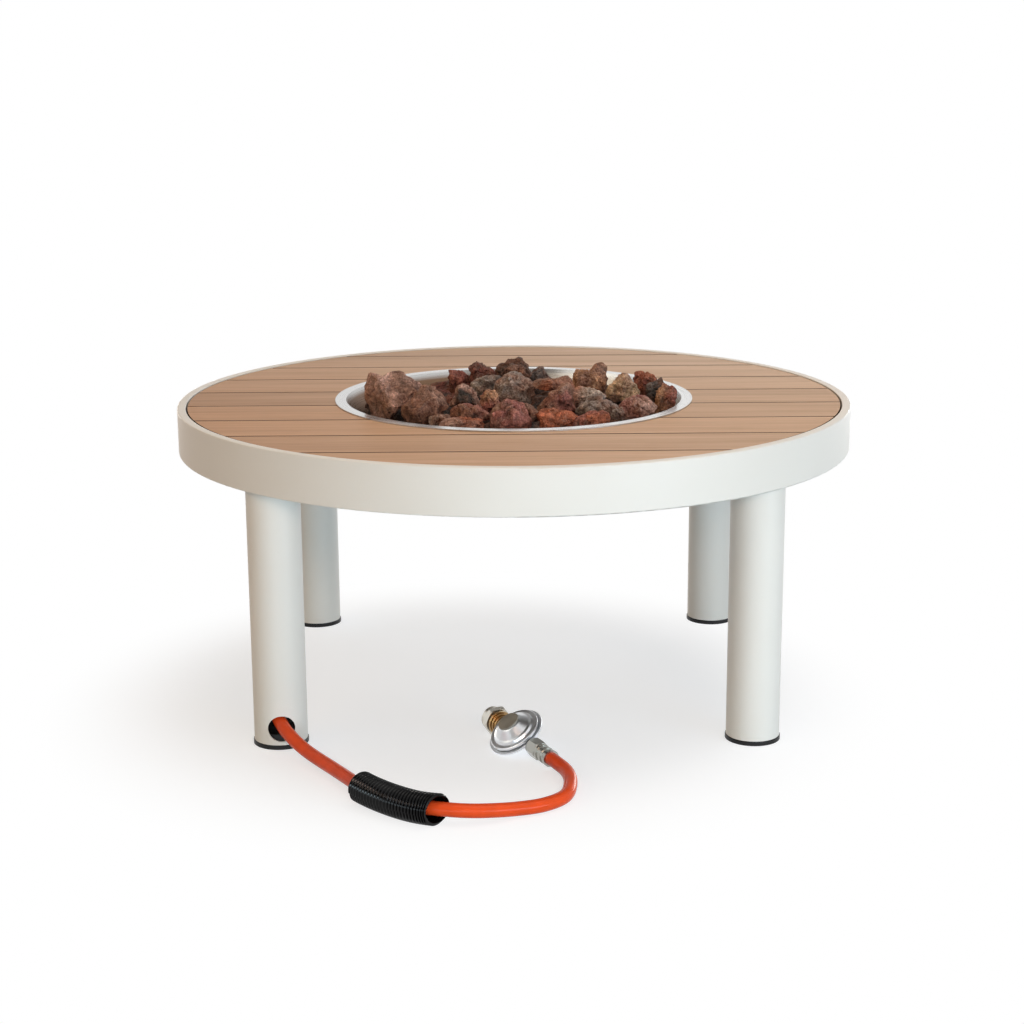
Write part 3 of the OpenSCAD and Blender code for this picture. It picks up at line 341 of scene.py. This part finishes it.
finishes = {
    "cream_coat": make_cream(),
    "hardwood": make_wood(),
    "black_plastic": make_moulded("black_plastic", (0.008, 0.008, 0.0085), 0.42, 0.25),
    # Stainless: the ramp below is the bowl's heat tint with painted reflection, dark brown on the left,
    # bright in the middle, darker on the right
    "stainless": make_brushed("stainless", (0.58, 0.575, 0.565), [
        (0.0, (0.20, 0.12, 0.075)), (0.5, (0.84, 0.75, 0.67)), (0.68, (0.80, 0.72, 0.64)),
        (0.85, (0.40, 0.35, 0.30))], 0.22, 0.34),
    "plated_steel": make_metal("plated_steel", (0.46, 0.455, 0.42), 0.2, 0.36),
    "lava_rock": make_lava(),
    "brass": make_metal("brass", (0.50, 0.335, 0.165), 0.2, 0.34),
    "copper": make_metal("copper", (0.62, 0.33, 0.20), 0.22, 0.38),
    "orange_hose": make_moulded("orange_hose", (0.80, 0.083, 0.017), 0.22, 0.12, 350.0, 0.04, 0.08),
    "black_sleeve": make_moulded("black_sleeve", (0.001, 0.001, 0.0012), 0.08, 0.18, 300.0, 0.005),
    "cast_zinc": make_metal("cast_zinc", (0.80, 0.815, 0.84), 0.27, 0.36, 400.0, 0.03),
    "grey_cap": make_moulded("grey_cap", (0.26, 0.25, 0.215), 0.45, 0.5, 350.0, 0.25, 0.25),
    "diaphragm": make_moulded("diaphragm", (0.11, 0.11, 0.11), 0.6),
}

for subpart in frame["record"]["subparts"]:
    holder = cad[subpart["node"]]
    holder.data.materials.clear()
    holder.data.materials.append(finishes[subpart["material_slot"]])

dull_steel = make_metal("dull_steel", (0.33, 0.33, 0.325), 0.38, 0.52)
own_finishes = {
    "coupling_nut": make_metal("bright_plate", (0.68, 0.65, 0.58), 0.22, 0.36),
    "burner_ring": make_metal("burnt_steel", (0.20, 0.165, 0.14), 0.40, 0.55),
    "injector_strap": dull_steel,
    "valve_bracket": dull_steel,
    "mixing_tube": dull_steel,
    "burner_locknut": dull_steel,
    "regulator_body": make_metal("cast_body", (0.74, 0.76, 0.79), 0.42, 0.52, 400.0, 0.03),
}
for node, finish in own_finishes.items():
    cad[node].data.materials[0] = finish


# Helpers for new pieces
def new_object(name, data, body, slot_name):
    made = bpy.data.objects.new(name, data)
    scene.collection.objects.link(made)
    data.materials.append(finishes[slot_name])
    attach(made, body)
    return made


def curve_point(points, t):
    last = len(points) - 1
    i = min(int(t), last - 1)
    u = t - i
    before = points[max(i - 1, 0)]
    start = points[i]
    end = points[i + 1]
    after = points[min(i + 2, last)]
    if i == 0:
        before = 2 * start - end
    if i + 2 > last:
        after = 2 * end - start
    return (2 * start + u * (end - before) + u * u * (2 * before - 5 * start + 4 * end - after)
            + u * u * u * (3 * start - before - 3 * end + after)) / 2


def smooth_route(points, per_span):
    count = (len(points) - 1) * per_span
    return [curve_point(points, i / per_span) for i in range(count)] + [points[-1]]


def make_hose(name, points):
    data = bpy.data.curves.new(name, "CURVE")
    data.dimensions = "3D"
    data.bevel_depth = hose_d / 2
    data.bevel_resolution = 8
    data.use_fill_caps = True
    spline = data.splines.new("POLY")
    spline.points.add(len(points) - 1)
    for target, point in zip(spline.points, points):
        target.co = (*point, 1)
    spline.use_smooth = True
    return new_object(name, data, "table", "orange_hose")


# Gas hose along its route from the front left leg to the regulator, and up inside the leg to the valve.
# The points are in millimetres from the leg's foot, those under the top in shares of the way to the valve
leg_reach = rim_inner_r - leg_inset
leg_turn = math.radians(41.2)
leg_at = Vector((-leg_reach * math.cos(leg_turn), -leg_reach * math.sin(leg_turn), 0))
floor_route = [
    (5, -29, 28.5), (9.2, -37.7, 25.8), (16, -48, 22.5), (24, -59, 18.8), (36, -74, 14.7),
    (49.5, -93, 13), (67, -118, 12), (84, -145, 12), (102, -176, 13.3), (121, -200, 14.6),
    (144, -222, 15.2), (166, -237, 15.5), (190, -245, 15.5), (213, -247, 14.5), (236, -242, 12.4),
    (264, -229, 8.8), (292, -216, 7.8), (314, -193, 7.7), (321, -158, 8.5), (318, -130, 10.3)]
leg_route = [
    (5, -29, 28.5), (0.8, -20.3, 31.2), (-2, -12, 36.5), (-3, -4, 46), (-3, 4, 60), (-2, 10, 78),
    (-2, 13, 95), (-1, 12, 115), (1, 4, 140), (4, -8, 170), (5, -14, 200), (4, -11, 222),
    (0, 1, 246), (-5, 14, 260), (-10.5, 28.5, 268)]
run_route = [(0.16, 0.12, -3), (0.4, 0.32, -1), (0.66, 0.55, 0), (0.89, 0.76, 0), (1, 0.92, 0)]


def from_leg(point):
    return leg_at + Vector(point) / 1000


reg_at = from_leg((267.6, -34.4, 15.6))
reg_heading = math.radians(-61.2)
reg_dip = math.radians(2.6)
reg_out = Vector((math.cos(reg_heading) * math.cos(reg_dip), math.sin(reg_heading) * math.cos(reg_dip),
                  -math.sin(reg_dip)))
reg_neck = 0.072
straight_lead = 0.012
route_steps = 8
hose_end = reg_at + reg_neck * reg_out
free_points = [from_leg(p) for p in floor_route] + [hose_end + straight_lead * reg_out, hose_end]
free_line = smooth_route(free_points, route_steps)
hose = make_hose("gas_hose", free_line)
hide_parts("hose_free")

leg_exit = from_leg(leg_route[-1])
valve_inlet = Vector((-0.33, -0.011, 0.275))
way = valve_inlet - leg_exit
leg_points = [from_leg(p) for p in leg_route]
for share_x, share_y, rise in run_route:
    leg_points.append(Vector((leg_exit.x + share_x * way.x, leg_exit.y + share_y * way.y,
                              valve_inlet.z + rise / 1000)))
leg_points.append(valve_inlet)
inner_hose = make_hose("inner_hose", smooth_route(leg_points, route_steps))
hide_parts("hose_in_leg")


# Corrugated sleeve, slit along its front with the lips overlapping, and cut slanting at its right end
def make_sleeve():
    ribs = 27
    per_rib = 10
    around = 56
    crest = 0.01675
    valley = 0.0147
    wall = 0.0009
    squareness = 1.7
    middle_z = 0.01705
    shift = Vector((-0.0015, -0.006))
    first = 8.12
    span = 3.7
    last = 12.5
    nudge = 0.01
    slit_at = math.radians(-9)
    overlap = math.radians(1.0)
    lip_depth = 0.0012
    lip_steps = 4
    slant = 0.0085
    slant_ribs = 9
    spine = [Vector((p.x + shift.x, p.y + shift.y, middle_z)) for p in free_points]
    count = ribs * per_rib
    rings = []
    for i in range(count + 1):
        t = first + span * i / count
        here = curve_point(spine, t)
        ahead = curve_point(spine, min(t + nudge, last)) - curve_point(spine, t - nudge)
        ahead.normalize()
        front = ahead.cross(Vector((0, 0, 1))).normalized()
        up = front.cross(ahead).normalized()
        phase = math.sin(2 * math.pi * i / per_rib - math.pi / 2)
        swell = 0.5 + 0.5 * math.tanh(squareness * phase) / math.tanh(squareness)
        rings.append((here, ahead, front, up, valley + (crest - valley) * swell))
    shell = bmesh.new()
    outer_rows = []
    inner_rows = []
    for i, (here, ahead, front, up, radius) in enumerate(rings):
        row_out = []
        row_in = []
        for k in range(around + 1):
            turn_by = slit_at - overlap + (2 * math.pi + 2 * overlap) * k / around
            toward = math.cos(turn_by) * front + math.sin(turn_by) * up
            lip = lip_depth * max(0, k - around + lip_steps) / lip_steps
            late = max(0.0, i / per_rib - ribs + slant_ribs) / slant_ribs
            lean = -slant * late * late * math.cos(turn_by) * ahead
            row_out.append(shell.verts.new(here + lean + (radius - lip) * toward))
            row_in.append(shell.verts.new(here + lean + (radius - wall - lip) * toward))
        outer_rows.append(row_out)
        inner_rows.append(row_in)
    for i in range(count):
        out_a = outer_rows[i]
        out_b = outer_rows[i + 1]
        in_a = inner_rows[i]
        in_b = inner_rows[i + 1]
        for k in range(around):
            shell.faces.new((out_a[k], out_a[k + 1], out_b[k + 1], out_b[k]))
            shell.faces.new((in_a[k], in_b[k], in_b[k + 1], in_a[k + 1]))
        for k in (0, around):
            shell.faces.new((out_a[k], out_b[k], in_b[k], in_a[k]))
    for i in (0, count):
        out_a = outer_rows[i]
        in_a = inner_rows[i]
        for k in range(around):
            shell.faces.new((out_a[k], in_a[k], in_a[k + 1], out_a[k + 1]))
    bmesh.ops.recalc_face_normals(shell, faces=shell.faces)
    data = bpy.data.meshes.new("ribbed_sleeve")
    shell.to_mesh(data)
    shell.free()
    data.shade_smooth()
    data.set_sharp_from_angle(angle=math.radians(65))
    return new_object("ribbed_sleeve", data, "table", "black_sleeve")


sleeve = make_sleeve()
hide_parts("hose_sleeve")


# Lava rocks of the heap: middle and half depth in millimetres, the two tones of each rock, and the outline
# that its front shows, counted in steps from the middle
rock_step = 0.00125
rock_tones = {
    "umber": (0.225, 0.130, 0.095),
    "ochre": (0.330, 0.185, 0.110),
    "brown": (0.190, 0.102, 0.072),
    "dark": (0.085, 0.055, 0.045),
    "soot": (0.050, 0.045, 0.042),
    "maroon": (0.185, 0.062, 0.050),
    "rust": (0.260, 0.088, 0.048),
    "ember": (0.370, 0.118, 0.064),
    "salmon": (0.420, 0.205, 0.145),
    "plum": (0.255, 0.105, 0.090),
    "ash": (0.245, 0.205, 0.180),
    "slate": (0.125, 0.105, 0.098),
    "pale": (0.375, 0.310, 0.260),
    "sand": (0.425, 0.312, 0.208),
    "rose": (0.340, 0.215, 0.175),
}
heap_rocks = {
    "twin_peaks": ((-142, -62, 363), 27, ("umber", "rose"), [
        (-27, 12), (-26, 18), (-22, 21), (-16, 21), (-12, 18), (-8, 17), (-5, 19), (-2, 23), (3, 26),
        (8, 25), (13, 19), (21, 15), (28, 9), (24, 0), (17, -5), (7, -9), (3, -15), (-3, -22), (-15, -23),
        (-22, -20), (-24, -9), (-27, 7)]),
    "leaning_wedge": ((-104, -98, 357), 23, ("brown", "umber"), [
        (-25, -5), (-22, 0), (-15, 3), (-8, 9), (-3, 16), (1, 19), (7, 20), (11, 17), (15, 12), (22, 4),
        (21, -3), (17, -7), (18, -13), (8, -17), (-6, -16), (-19, -13)]),
    "left_crumb": ((-172, -28, 346), 13, ("dark", "dark"), [(-4, -2), (-2, 4), (4, 6), (9, 0), (4, -6)]),
    "red_block": ((-68, 110, 353), 19, ("maroon", "plum"), [
        (-9, 8), (-4, 8), (2, 8), (7, 6), (11, 1), (11, -7), (2, -11), (-9, -11), (-10, -1)]),
    "dark_gable": ((-41, 98, 364), 18, ("dark", "maroon"), [
        (-11, 3), (-7, 7), (-2, 9), (2, 8), (6, 4), (13, 1), (16, -2), (12, -8), (0, -10), (-10, -9)]),
    "dark_dome": ((-1, 84, 369), 20, ("dark", "brown"), [
        (-18, -2), (-15, 1), (-11, 5), (-6, 6), (-3, 9), (3, 10), (8, 10), (12, 6), (16, 2), (18, -4),
        (16, -10), (0, -12), (-14, -10)]),
    "rimmed_gable": ((-56, -40, 355), 19, ("soot", "rose"), [
        (-14, -2), (-11, 5), (-8, 10), (-4, 13), (1, 12), (6, 8), (10, 2), (13, -3), (17, -9), (7, -11),
        (-5, -11), (-15, -8)]),
    "low_grey": ((-36, 36, 359), 18, ("slate", "ash"), [
        (-12, 2), (-4, 5), (3, 7), (10, 8), (16, 5), (14, -2), (8, -7), (-2, -9), (-12, -7)]),
    "brown_thumb": ((-28, -78, 358), 15, ("plum", "ochre"), [
        (-8, 5), (-5, 9), (0, 11), (4, 9), (7, 3), (9, -4), (7, -10), (0, -12), (-6, -7)]),
    "grey_heart": ((0, -9, 361), 22, ("ash", "umber"), [
        (-17, 3), (-13, 10), (-8, 13), (-3, 16), (1, 16), (5, 13), (11, 9), (19, 5), (20, -3), (18, -12),
        (13, -17), (4, -15), (-6, -14), (-14, -8), (-19, -2)]),
    "grey_fin": ((33, 84, 362), 16, ("slate", "slate"), [
        (-10, 1), (-6, 4), (-2, 6), (4, 7), (6, 3), (9, -2), (13, -5), (5, -9), (-8, -9)]),
    "front_brown": ((-51, -118, 352), 18, ("brown", "plum"), [
        (-18, -2), (-15, 4), (-9, 8), (-2, 9), (5, 6), (12, 3), (19, -1), (19, -8), (0, -11), (-17, -8)]),
    "front_slab": ((-55, -152, 347), 18, ("rose", "rust"), [
        (-24, 1), (-19, 4), (-9, 5), (2, 4), (12, 3), (21, -1), (25, -5), (0, -8), (-22, -4)]),
    "plum_boulder": ((-7, -135, 352), 20, ("plum", "umber"), [
        (-17, 1), (-14, 7), (-9, 11), (-3, 14), (6, 14), (12, 12), (17, 5), (20, -3), (19, -11), (2, -15),
        (-16, -12)]),
    "brown_spur": ((18, -116, 352), 14, ("brown", "dark"), [
        (-9, 8), (-3, 7), (3, 3), (8, -1), (9, -7), (0, -10), (-8, -2)]),
    "orange_roof": ((47, -10, 367), 20, ("rust", "umber"), [
        (-20, 0), (-15, 3), (-7, 4), (0, 4), (7, 5), (15, 8), (19, 4), (21, -4), (7, -7), (-4, -6),
        (-15, -4)]),
    "rough_shoulder": ((54, -60, 354), 20, ("umber", "plum"), [
        (-19, -3), (-13, 4), (-8, 9), (-1, 13), (7, 16), (12, 12), (13, 3), (14, -5), (17, -11), (5, -14),
        (-12, -13), (-23, -9)]),
    "ember_front": ((47, -138, 349), 20, ("ember", "rust"), [
        (-18, 2), (-15, 8), (-10, 10), (-4, 9), (4, 7), (13, 5), (21, 2), (20, -6), (2, -12), (-14, -9)]),
    "salmon_face": ((83, -28, 355), 17, ("salmon", "pale"), [
        (-11, 5), (-4, 8), (5, 7), (13, 5), (22, 0), (14, -5), (4, -9), (-10, -11), (-12, -3)]),
    "speckled_grey": ((95, -85, 352), 19, ("ash", "slate"), [
        (-20, -2), (-16, 2), (-10, 6), (-3, 9), (5, 10), (11, 7), (16, 3), (20, 0), (16, -6), (2, -11),
        (-16, -9)]),
    "tall_pillar": ((94, 40, 361), 20, ("ochre", "umber"), [
        (-20, 1), (-17, 6), (-12, 10), (-6, 11), (1, 10), (3, 15), (7, 17), (13, 17), (16, 13), (17, 4),
        (18, -5), (15, -15), (2, -14), (-13, -10)]),
    "front_right_slab": ((86, -138, 347), 17, ("plum", "rust"), [
        (-16, 1), (-8, 4), (0, 6), (8, 8), (15, 6), (19, 2), (13, -4), (0, -8), (-15, -7)]),
    "sandy_head": ((133, 16, 355), 19, ("sand", "rose"), [
        (-16, -3), (-13, 3), (-8, 6), (-5, 10), (-1, 13), (4, 13), (8, 10), (12, 5), (15, -1), (17, -9),
        (7, -13), (-5, -12), (-14, -9)]),
    "rose_foot": ((142, -74, 348), 22, ("rose", "plum"), [
        (-16, 3), (-10, 7), (-4, 10), (2, 13), (7, 12), (14, 6), (20, 0), (13, -5), (2, -10), (-10, -11),
        (-15, -4)]),
    "red_shield": ((161, 58, 358), 17, ("rust", "maroon"), [
        (-11, 2), (-8, 8), (-4, 10), (2, 9), (8, 5), (13, 1), (11, -7), (3, -15), (-3, -14), (-7, -6)]),
    "soot_block": ((172, 8, 353), 16, ("soot", "slate"), [
        (-8, 5), (-5, 10), (0, 12), (5, 13), (9, 8), (10, 2), (7, -6), (2, -14), (-6, -9), (-9, -2)]),
    "right_brown": ((180, -36, 352), 17, ("ochre", "maroon"), [
        (-7, 7), (-2, 14), (4, 13), (10, 10), (10, 2), (8, -5), (1, -11), (-9, -15), (-15, -12), (-9, -5)]),
    "grey_chip": ((-85, -130, 347), 12, ("ash", "umber"), [
        (-9, 0), (-3, 4), (5, 4), (10, 0), (4, -6), (-6, -6)]),
    "right_crumb": ((184, -8, 340), 13, ("dark", "maroon"), [
        (-7, 2), (-2, 8), (4, 6), (6, -2), (0, -8), (-6, -6)]),
    "small_chip": ((118, -112, 350), 10, ("ash", "dark"), [(-5, -4), (-2, 3), (3, 6), (6, 1), (4, -6)]),
}
# Tones of the rocks below the heap, kept dark as painted shade, since they show only between the rocks on
# top
shaded_bed_tones = [("soot", "dark"), ("dark", "brown"), ("soot", "slate"), ("dark", "maroon"), ("soot", "dark")]
bed_start = 50
flat_breaks = 13
break_seed = 11
break_keep = 0.76
break_vary = 0.14
front_bulge = 0.75
back_bulge = 0.9
bed_bulge = 0.85
rock_crease = math.radians(34)

# Skin of the rocks: features per metre, and how deep they cut in metres
lump_scale = 60
crag_scale = 90
grit_scale = 400
clinker_scale = 85
pit_scale = 190
tone_scale = 38
skin_swell = 0.0008
lump_depth = 0.0028
crag_depth = 0.0046
grit_depth = 0.0010
crack_depth = 0.0024
block_depth = 0.0020
pit_depth = 0.0022
crack_width = 0.22
pit_width = 0.30
# Painted shade low in the bowl: the rocks darken below this height, down to the least share
low_shade_level = 0.318
low_shade_rise = 0.034
low_shade_least = 0.25


def clamp(value, low=0.0, high=1.0):
    return min(max(value, low), high)


# Corners of each separate solid in a node
def loose_parts(holder):
    whole = bmesh.new()
    whole.from_mesh(holder.data)
    bmesh.ops.remove_doubles(whole, verts=whole.verts, dist=0.00001)
    left = set(whole.verts)
    groups = []
    while left:
        todo = [next(v for v in whole.verts if v in left)]
        left.discard(todo[0])
        group = []
        while todo:
            vert = todo.pop()
            group.append(vert.co.copy())
            for edge in vert.link_edges:
                other = edge.other_vert(vert)
                if other in left:
                    left.discard(other)
                    todo.append(other)
        groups.append(group)
    whole.free()
    return groups


# How far an outline lies from its middle at an angle
def outline_reach(outline, angle):
    ahead = Vector((math.cos(angle), math.sin(angle)))
    for start, end in zip(outline, outline[1:] + outline[:1]):
        side = Vector(end) - Vector(start)
        cross = ahead.x * side.y - ahead.y * side.x
        if abs(cross) < 0.000001:
            continue
        along = (start[0] * side.y - start[1] * side.x) / cross
        share = (start[0] * ahead.y - start[1] * ahead.x) / cross
        if along > 0 and 0 <= share <= 1:
            return along
    return 1.0


# A point drawn in to the wall of the bowl where it would pass through
def inside_bowl(spot):
    share = (spot.z - bowl_floor) / (bowl_mouth - bowl_floor)
    limit = bowl_floor_r + (bowl_mouth_r - bowl_floor_r) * clamp(share) - bowl_room
    reach = math.hypot(spot.x, spot.y)
    if reach > limit:
        spot.x *= limit / reach
        spot.y *= limit / reach
    return spot


# Flat breaks on the front and the top of a rock
def break_faces(points, middle, number, count):
    noise.seed_set(number + break_seed)
    for _ in range(count):
        facing = noise.random_unit_vector()
        facing.y = -abs(facing.y) - 0.3
        facing.z += 0.25
        facing.normalize()
        reach = [(p - middle).dot(facing) for p in points]
        limit = max(reach) * (break_keep + break_vary * noise.random())
        for i, depth in enumerate(reach):
            if depth > limit:
                points[i] = points[i] - (depth - limit) * facing


# Weathered skin: clinker lumps with cracks between them, scooped crags, grit and gas pits, with the tone
# following them, darker as painted shade where the skin is cut deeper, and painted shade low in the bowl
def weather(points, middle, number, tones, rimmed):
    seed = Vector((number * 3.17, number * 1.71, number * 2.39))
    first = Vector(rock_tones[tones[0]])
    second = Vector(rock_tones[tones[1]])
    spots = []
    tints = []
    for point in points:
        out = (point - middle).normalized()
        lumps = noise.noise(point * lump_scale + seed)
        crags = noise.turbulence(point * crag_scale + seed * 1.3, 4, True) - 0.45
        grit = noise.noise(point * grit_scale + seed * 0.7)
        gaps, lump_at = noise.voronoi(point * clinker_scale + seed)
        crack = max(0.0, crack_width - gaps[1] + gaps[0]) / crack_width
        block = noise.noise(lump_at[0] * 3.7)
        pit = max(0.0, pit_width - noise.voronoi(point * pit_scale + seed)[0][0]) / pit_width
        cut = (-skin_swell + lump_depth * lumps + crag_depth * crags + grit_depth * grit
               + crack_depth * crack * crack + block_depth * block + pit_depth * pit)
        spot = inside_bowl(point - cut * out)
        spots.append(spot)
        if rimmed:
            share = clamp((math.hypot(out.x, out.z) - 0.80) / 0.14 + 0.4 * lumps)
        else:
            share = clamp(0.42 + 1.8 * noise.noise(point * tone_scale + seed * 2.1) + 0.6 * block)
        # Painted shade: the tone is darker wherever the skin is cut deeper, most in the crags, cracks and
        # pits; lumps and blocks also vary it from lump to lump
        shade = 1.85 - 0.2 * lumps - 1.5 * crags - 0.4 * grit - 0.7 * crack - 0.4 * block - 0.8 * pit
        # Painted shade: the rock darkens the lower it lies in the bowl
        soot = clamp((spot.z - low_shade_level) / low_shade_rise, low_shade_least)
        tints.append((*(first.lerp(second, share) * max(shade, 0.2) * soot), 1.0))
    return spots, tints


def ball_of(detail):
    ball = bmesh.new()
    bmesh.ops.create_icosphere(ball, subdivisions=detail, radius=1)
    ways = [v.co.normalized() for v in ball.verts]
    faces = [[v.index for v in f.verts] for f in ball.faces]
    ball.free()
    return ways, faces


def rock_mesh(name, rocks, faces):
    points = []
    sides = []
    tints = []
    for spots, colours in rocks:
        sides.extend([[i + len(points) for i in f] for f in faces])
        points.extend(spots)
        tints.extend(colours)
    data = bpy.data.meshes.new(name)
    data.from_pydata(points, [], sides)
    layer = data.color_attributes.new("tint", "FLOAT_COLOR", "POINT")
    for target, tint in zip(layer.data, tints):
        target.color = tint
    data.shade_smooth()
    data.set_sharp_from_angle(angle=rock_crease)
    return new_object(name, data, "fire_bowl", "lava_rock")


def make_heap(detail):
    ways, faces = ball_of(detail)
    rocks = []
    for number, (name, (at, depth, tones, outline)) in enumerate(heap_rocks.items()):
        middle = Vector(at) / 1000
        points = []
        for way_out in ways:
            flat = math.hypot(way_out.x, way_out.z)
            angle = math.atan2(way_out.z, way_out.x)
            reach = outline_reach(outline, angle) * rock_step * flat ** front_bulge
            back = depth / 1000 * math.copysign(abs(way_out.y) ** back_bulge, way_out.y)
            points.append(middle + Vector((reach * math.cos(angle), back, reach * math.sin(angle))))
        break_faces(points, middle, number, flat_breaks)
        rocks.append(weather(points, middle, number, tones, name == "rimmed_gable"))
    return rock_mesh("rocks_on_top", rocks, faces)


def make_bed(detail):
    ways, faces = ball_of(detail)
    rocks = []
    for number, corners in enumerate(loose_parts(cad["lava_rocks_lower"])):
        low = Vector(min(c[i] for c in corners) for i in range(3))
        high = Vector(max(c[i] for c in corners) for i in range(3))
        middle = (low + high) / 2
        half = (high - low) / 2
        points = []
        for way_out in ways:
            reach = [math.copysign(abs(way_out[i]) ** bed_bulge, way_out[i]) * half[i] for i in range(3)]
            points.append(middle + Vector(reach))
        tones = shaded_bed_tones[number % len(shaded_bed_tones)]
        break_faces(points, middle, bed_start + number, flat_breaks)
        rocks.append(weather(points, middle, bed_start + number, tones, False))
    return rock_mesh("rocks_below", rocks, faces)


rock_detail = 4
rocks_top = make_heap(rock_detail)
rocks_below = make_bed(rock_detail)
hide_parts("lava_rocks_upper")
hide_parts("lava_rocks_lower")


# Soft edges on the boards
def soften(name):
    made = cad[name].modifiers.new("soft_edge", "BEVEL")
    made.width = board_edge
    made.segments = 2
    made.limit_method = "ANGLE"
    made.angle_limit = math.radians(35)


for node in cad:
    if node.startswith("slat_") and node not in ("slat_ledge", "slat_screws"):
        soften(node)


def make_panel(name, corners, paint):
    data = bpy.data.meshes.new(name)
    data.from_pydata(corners, [], [(0, 1, 2, 3)])
    data.materials.append(paint)
    made = bpy.data.objects.new(name, data)
    scene.collection.objects.link(made)
    return made


# Pale floor, which keeps the shadows near the table and is white further off. The light that it throws back
# is warm on the far left and cool elsewhere
def make_floor():
    half = 15
    shadow_end = 0.27
    white_start = 0.52
    paint = bpy.data.materials.new("floor")
    paint.use_nodes = True
    tree = paint.node_tree
    tree.nodes.clear()
    out = add(tree, "ShaderNodeOutputMaterial")
    across = axes_of(tree, position(tree))["X"]
    bounce = ramp(tree, spread(tree, across, 0.0, 1.0, -0.6, 0.6), [
        (0.08, (0.24, 0.15, 0.08)), (0.25, (0.31, 0.40, 0.46)), (1.0, (0.30, 0.33, 0.35))])
    plain = add(tree, "ShaderNodeBsdfDiffuse", {"Color": bounce})
    pale = add(tree, "ShaderNodeBsdfDiffuse", {"Color": (0.515, 0.56, 0.61, 1)})
    lift = add(tree, "ShaderNodeEmission", {"Color": white, "Strength": 0.585})
    shown = add(tree, "ShaderNodeAddShader", {0: pale.outputs[0], 1: lift.outputs[0]})
    blank = add(tree, "ShaderNodeEmission", {"Color": white, "Strength": 1.0})
    from_table = vector_of(tree, "ADD", position(tree), (0.06, 0.08, 0))["Vector"]
    away = vector_of(tree, "LENGTH", from_table)["Value"]
    fade = {"Value": away, "From Min": shadow_end, "From Max": white_start}
    edge = add(tree, "ShaderNodeMapRange", fade, interpolation_type="SMOOTHSTEP").outputs["Result"]
    shown = add(tree, "ShaderNodeMixShader", {0: edge, 1: shown.outputs[0], 2: blank.outputs[0]})
    seen = seen_directly(tree)
    both = add(tree, "ShaderNodeMixShader", {0: seen, 1: plain.outputs[0], 2: shown.outputs[0]})
    link(tree, both.outputs[0], out.inputs["Surface"])
    corners = [(-half, -half, 0), (half, -half, 0), (half, half, 0), (-half, half, 0)]
    made = make_panel("floor", corners, paint)


make_floor()


# Dim wall behind the viewer, which the bowl reflects
def make_wall():
    paint, tree, shader = new_material("room_wall")
    shader.inputs["Roughness"].default_value = 0.9
    shade = ramp(tree, speckle(tree, position(tree), 0.4, 2.0), [(0.3, grey(0.27)), (0.7, grey(0.36))])
    link(tree, shade, shader.inputs["Base Color"])
    made = make_panel("room_wall", [(-4, -5, 0.6), (4, -5, 0.6), (4, -5, 5), (-4, -5, 5)], paint)
    made.visible_camera = False


make_wall()


# Light of the room: warm from the left and plain from the right, with a white background
def make_room_light():
    world = bpy.data.worlds.new("studio")
    scene.world = world
    world.use_nodes = True
    tree = world.node_tree
    tree.nodes.clear()
    out = add(tree, "ShaderNodeOutputWorld")
    toward = axes_of(tree, add(tree, "ShaderNodeTexCoord").outputs["Generated"])
    room = ramp(tree, spread(tree, toward["X"], 0.0, 1.0, -1.0, 1.0), [
        (0.05, (0.38, 0.175, 0.02)), (0.5, (0.10, 0.09, 0.08)), (0.95, grey(0.28))])
    above = spread(tree, toward["Z"], 0.0, 1.0, 0.2, 0.9)
    room = mixed(tree, above, room, grey(0.05), "ADD")
    soft = add(tree, "ShaderNodeBackground", {"Color": room, "Strength": 1.0})
    blank = add(tree, "ShaderNodeBackground", {"Color": white, "Strength": 1.0})
    seen = seen_directly(tree)
    both = add(tree, "ShaderNodeMixShader", {0: seen, 1: soft.outputs[0], 2: blank.outputs[0]})
    link(tree, both.outputs[0], out.inputs["Surface"])


make_room_light()


# Lamps
def soft_box(name, place, aim, size, power, colour):
    data = bpy.data.lights.new(name, "AREA")
    data.shape = "RECTANGLE"
    data.size, data.size_y = size
    data.energy = power
    data.color = colour
    made = bpy.data.objects.new(name, data)
    made.location = place
    made.rotation_mode = "QUATERNION"
    made.rotation_quaternion = (Vector(aim) - Vector(place)).to_track_quat("-Z", "Y")
    scene.collection.objects.link(made)


soft_box("overhead", (0.6, -0.1, 2.5), (0, 0, 0.3), (2.0, 2.0), 20.5, (1.0, 0.925, 0.85))
soft_box("key_front", (0.45, -2.8, 1.2), (0.05, 0, 0.25), (1.5, 0.35), 18.5, (1.0, 0.78, 0.66))
soft_box("window_right", (1.65, -1.85, 0.32), (-0.1, 0.15, 0.15), (1.4, 0.5), 23, (0.71, 0.87, 1.0))
soft_box("strip_left", (-1.9, -1.2, 1.35), (-0.13, -0.45, 0.02), (2.4, 0.05), 5, (1.0, 0.88, 0.66))
soft_box("rear", (0.6, 2.2, 2.0), (0, 0, 0.3), (1.6, 0.8), 8.5, (1.0, 1.0, 1.0))
soft_box("low_front", (-0.2, -2.6, 0.14), (-0.05, 0.2, 0.1), (2.0, 0.24), 17.5, (0.76, 0.92, 1.0))
soft_box("low_back_left", (-1.2, 2.4, 0.2), (0, 0, 0.2), (1.4, 0.3), 14, (1.0, 0.92, 0.82))
soft_box("low_back_right", (1.7, 2.1, 0.2), (0, 0, 0.2), (1.4, 0.3), 14, (1.0, 0.97, 0.93))
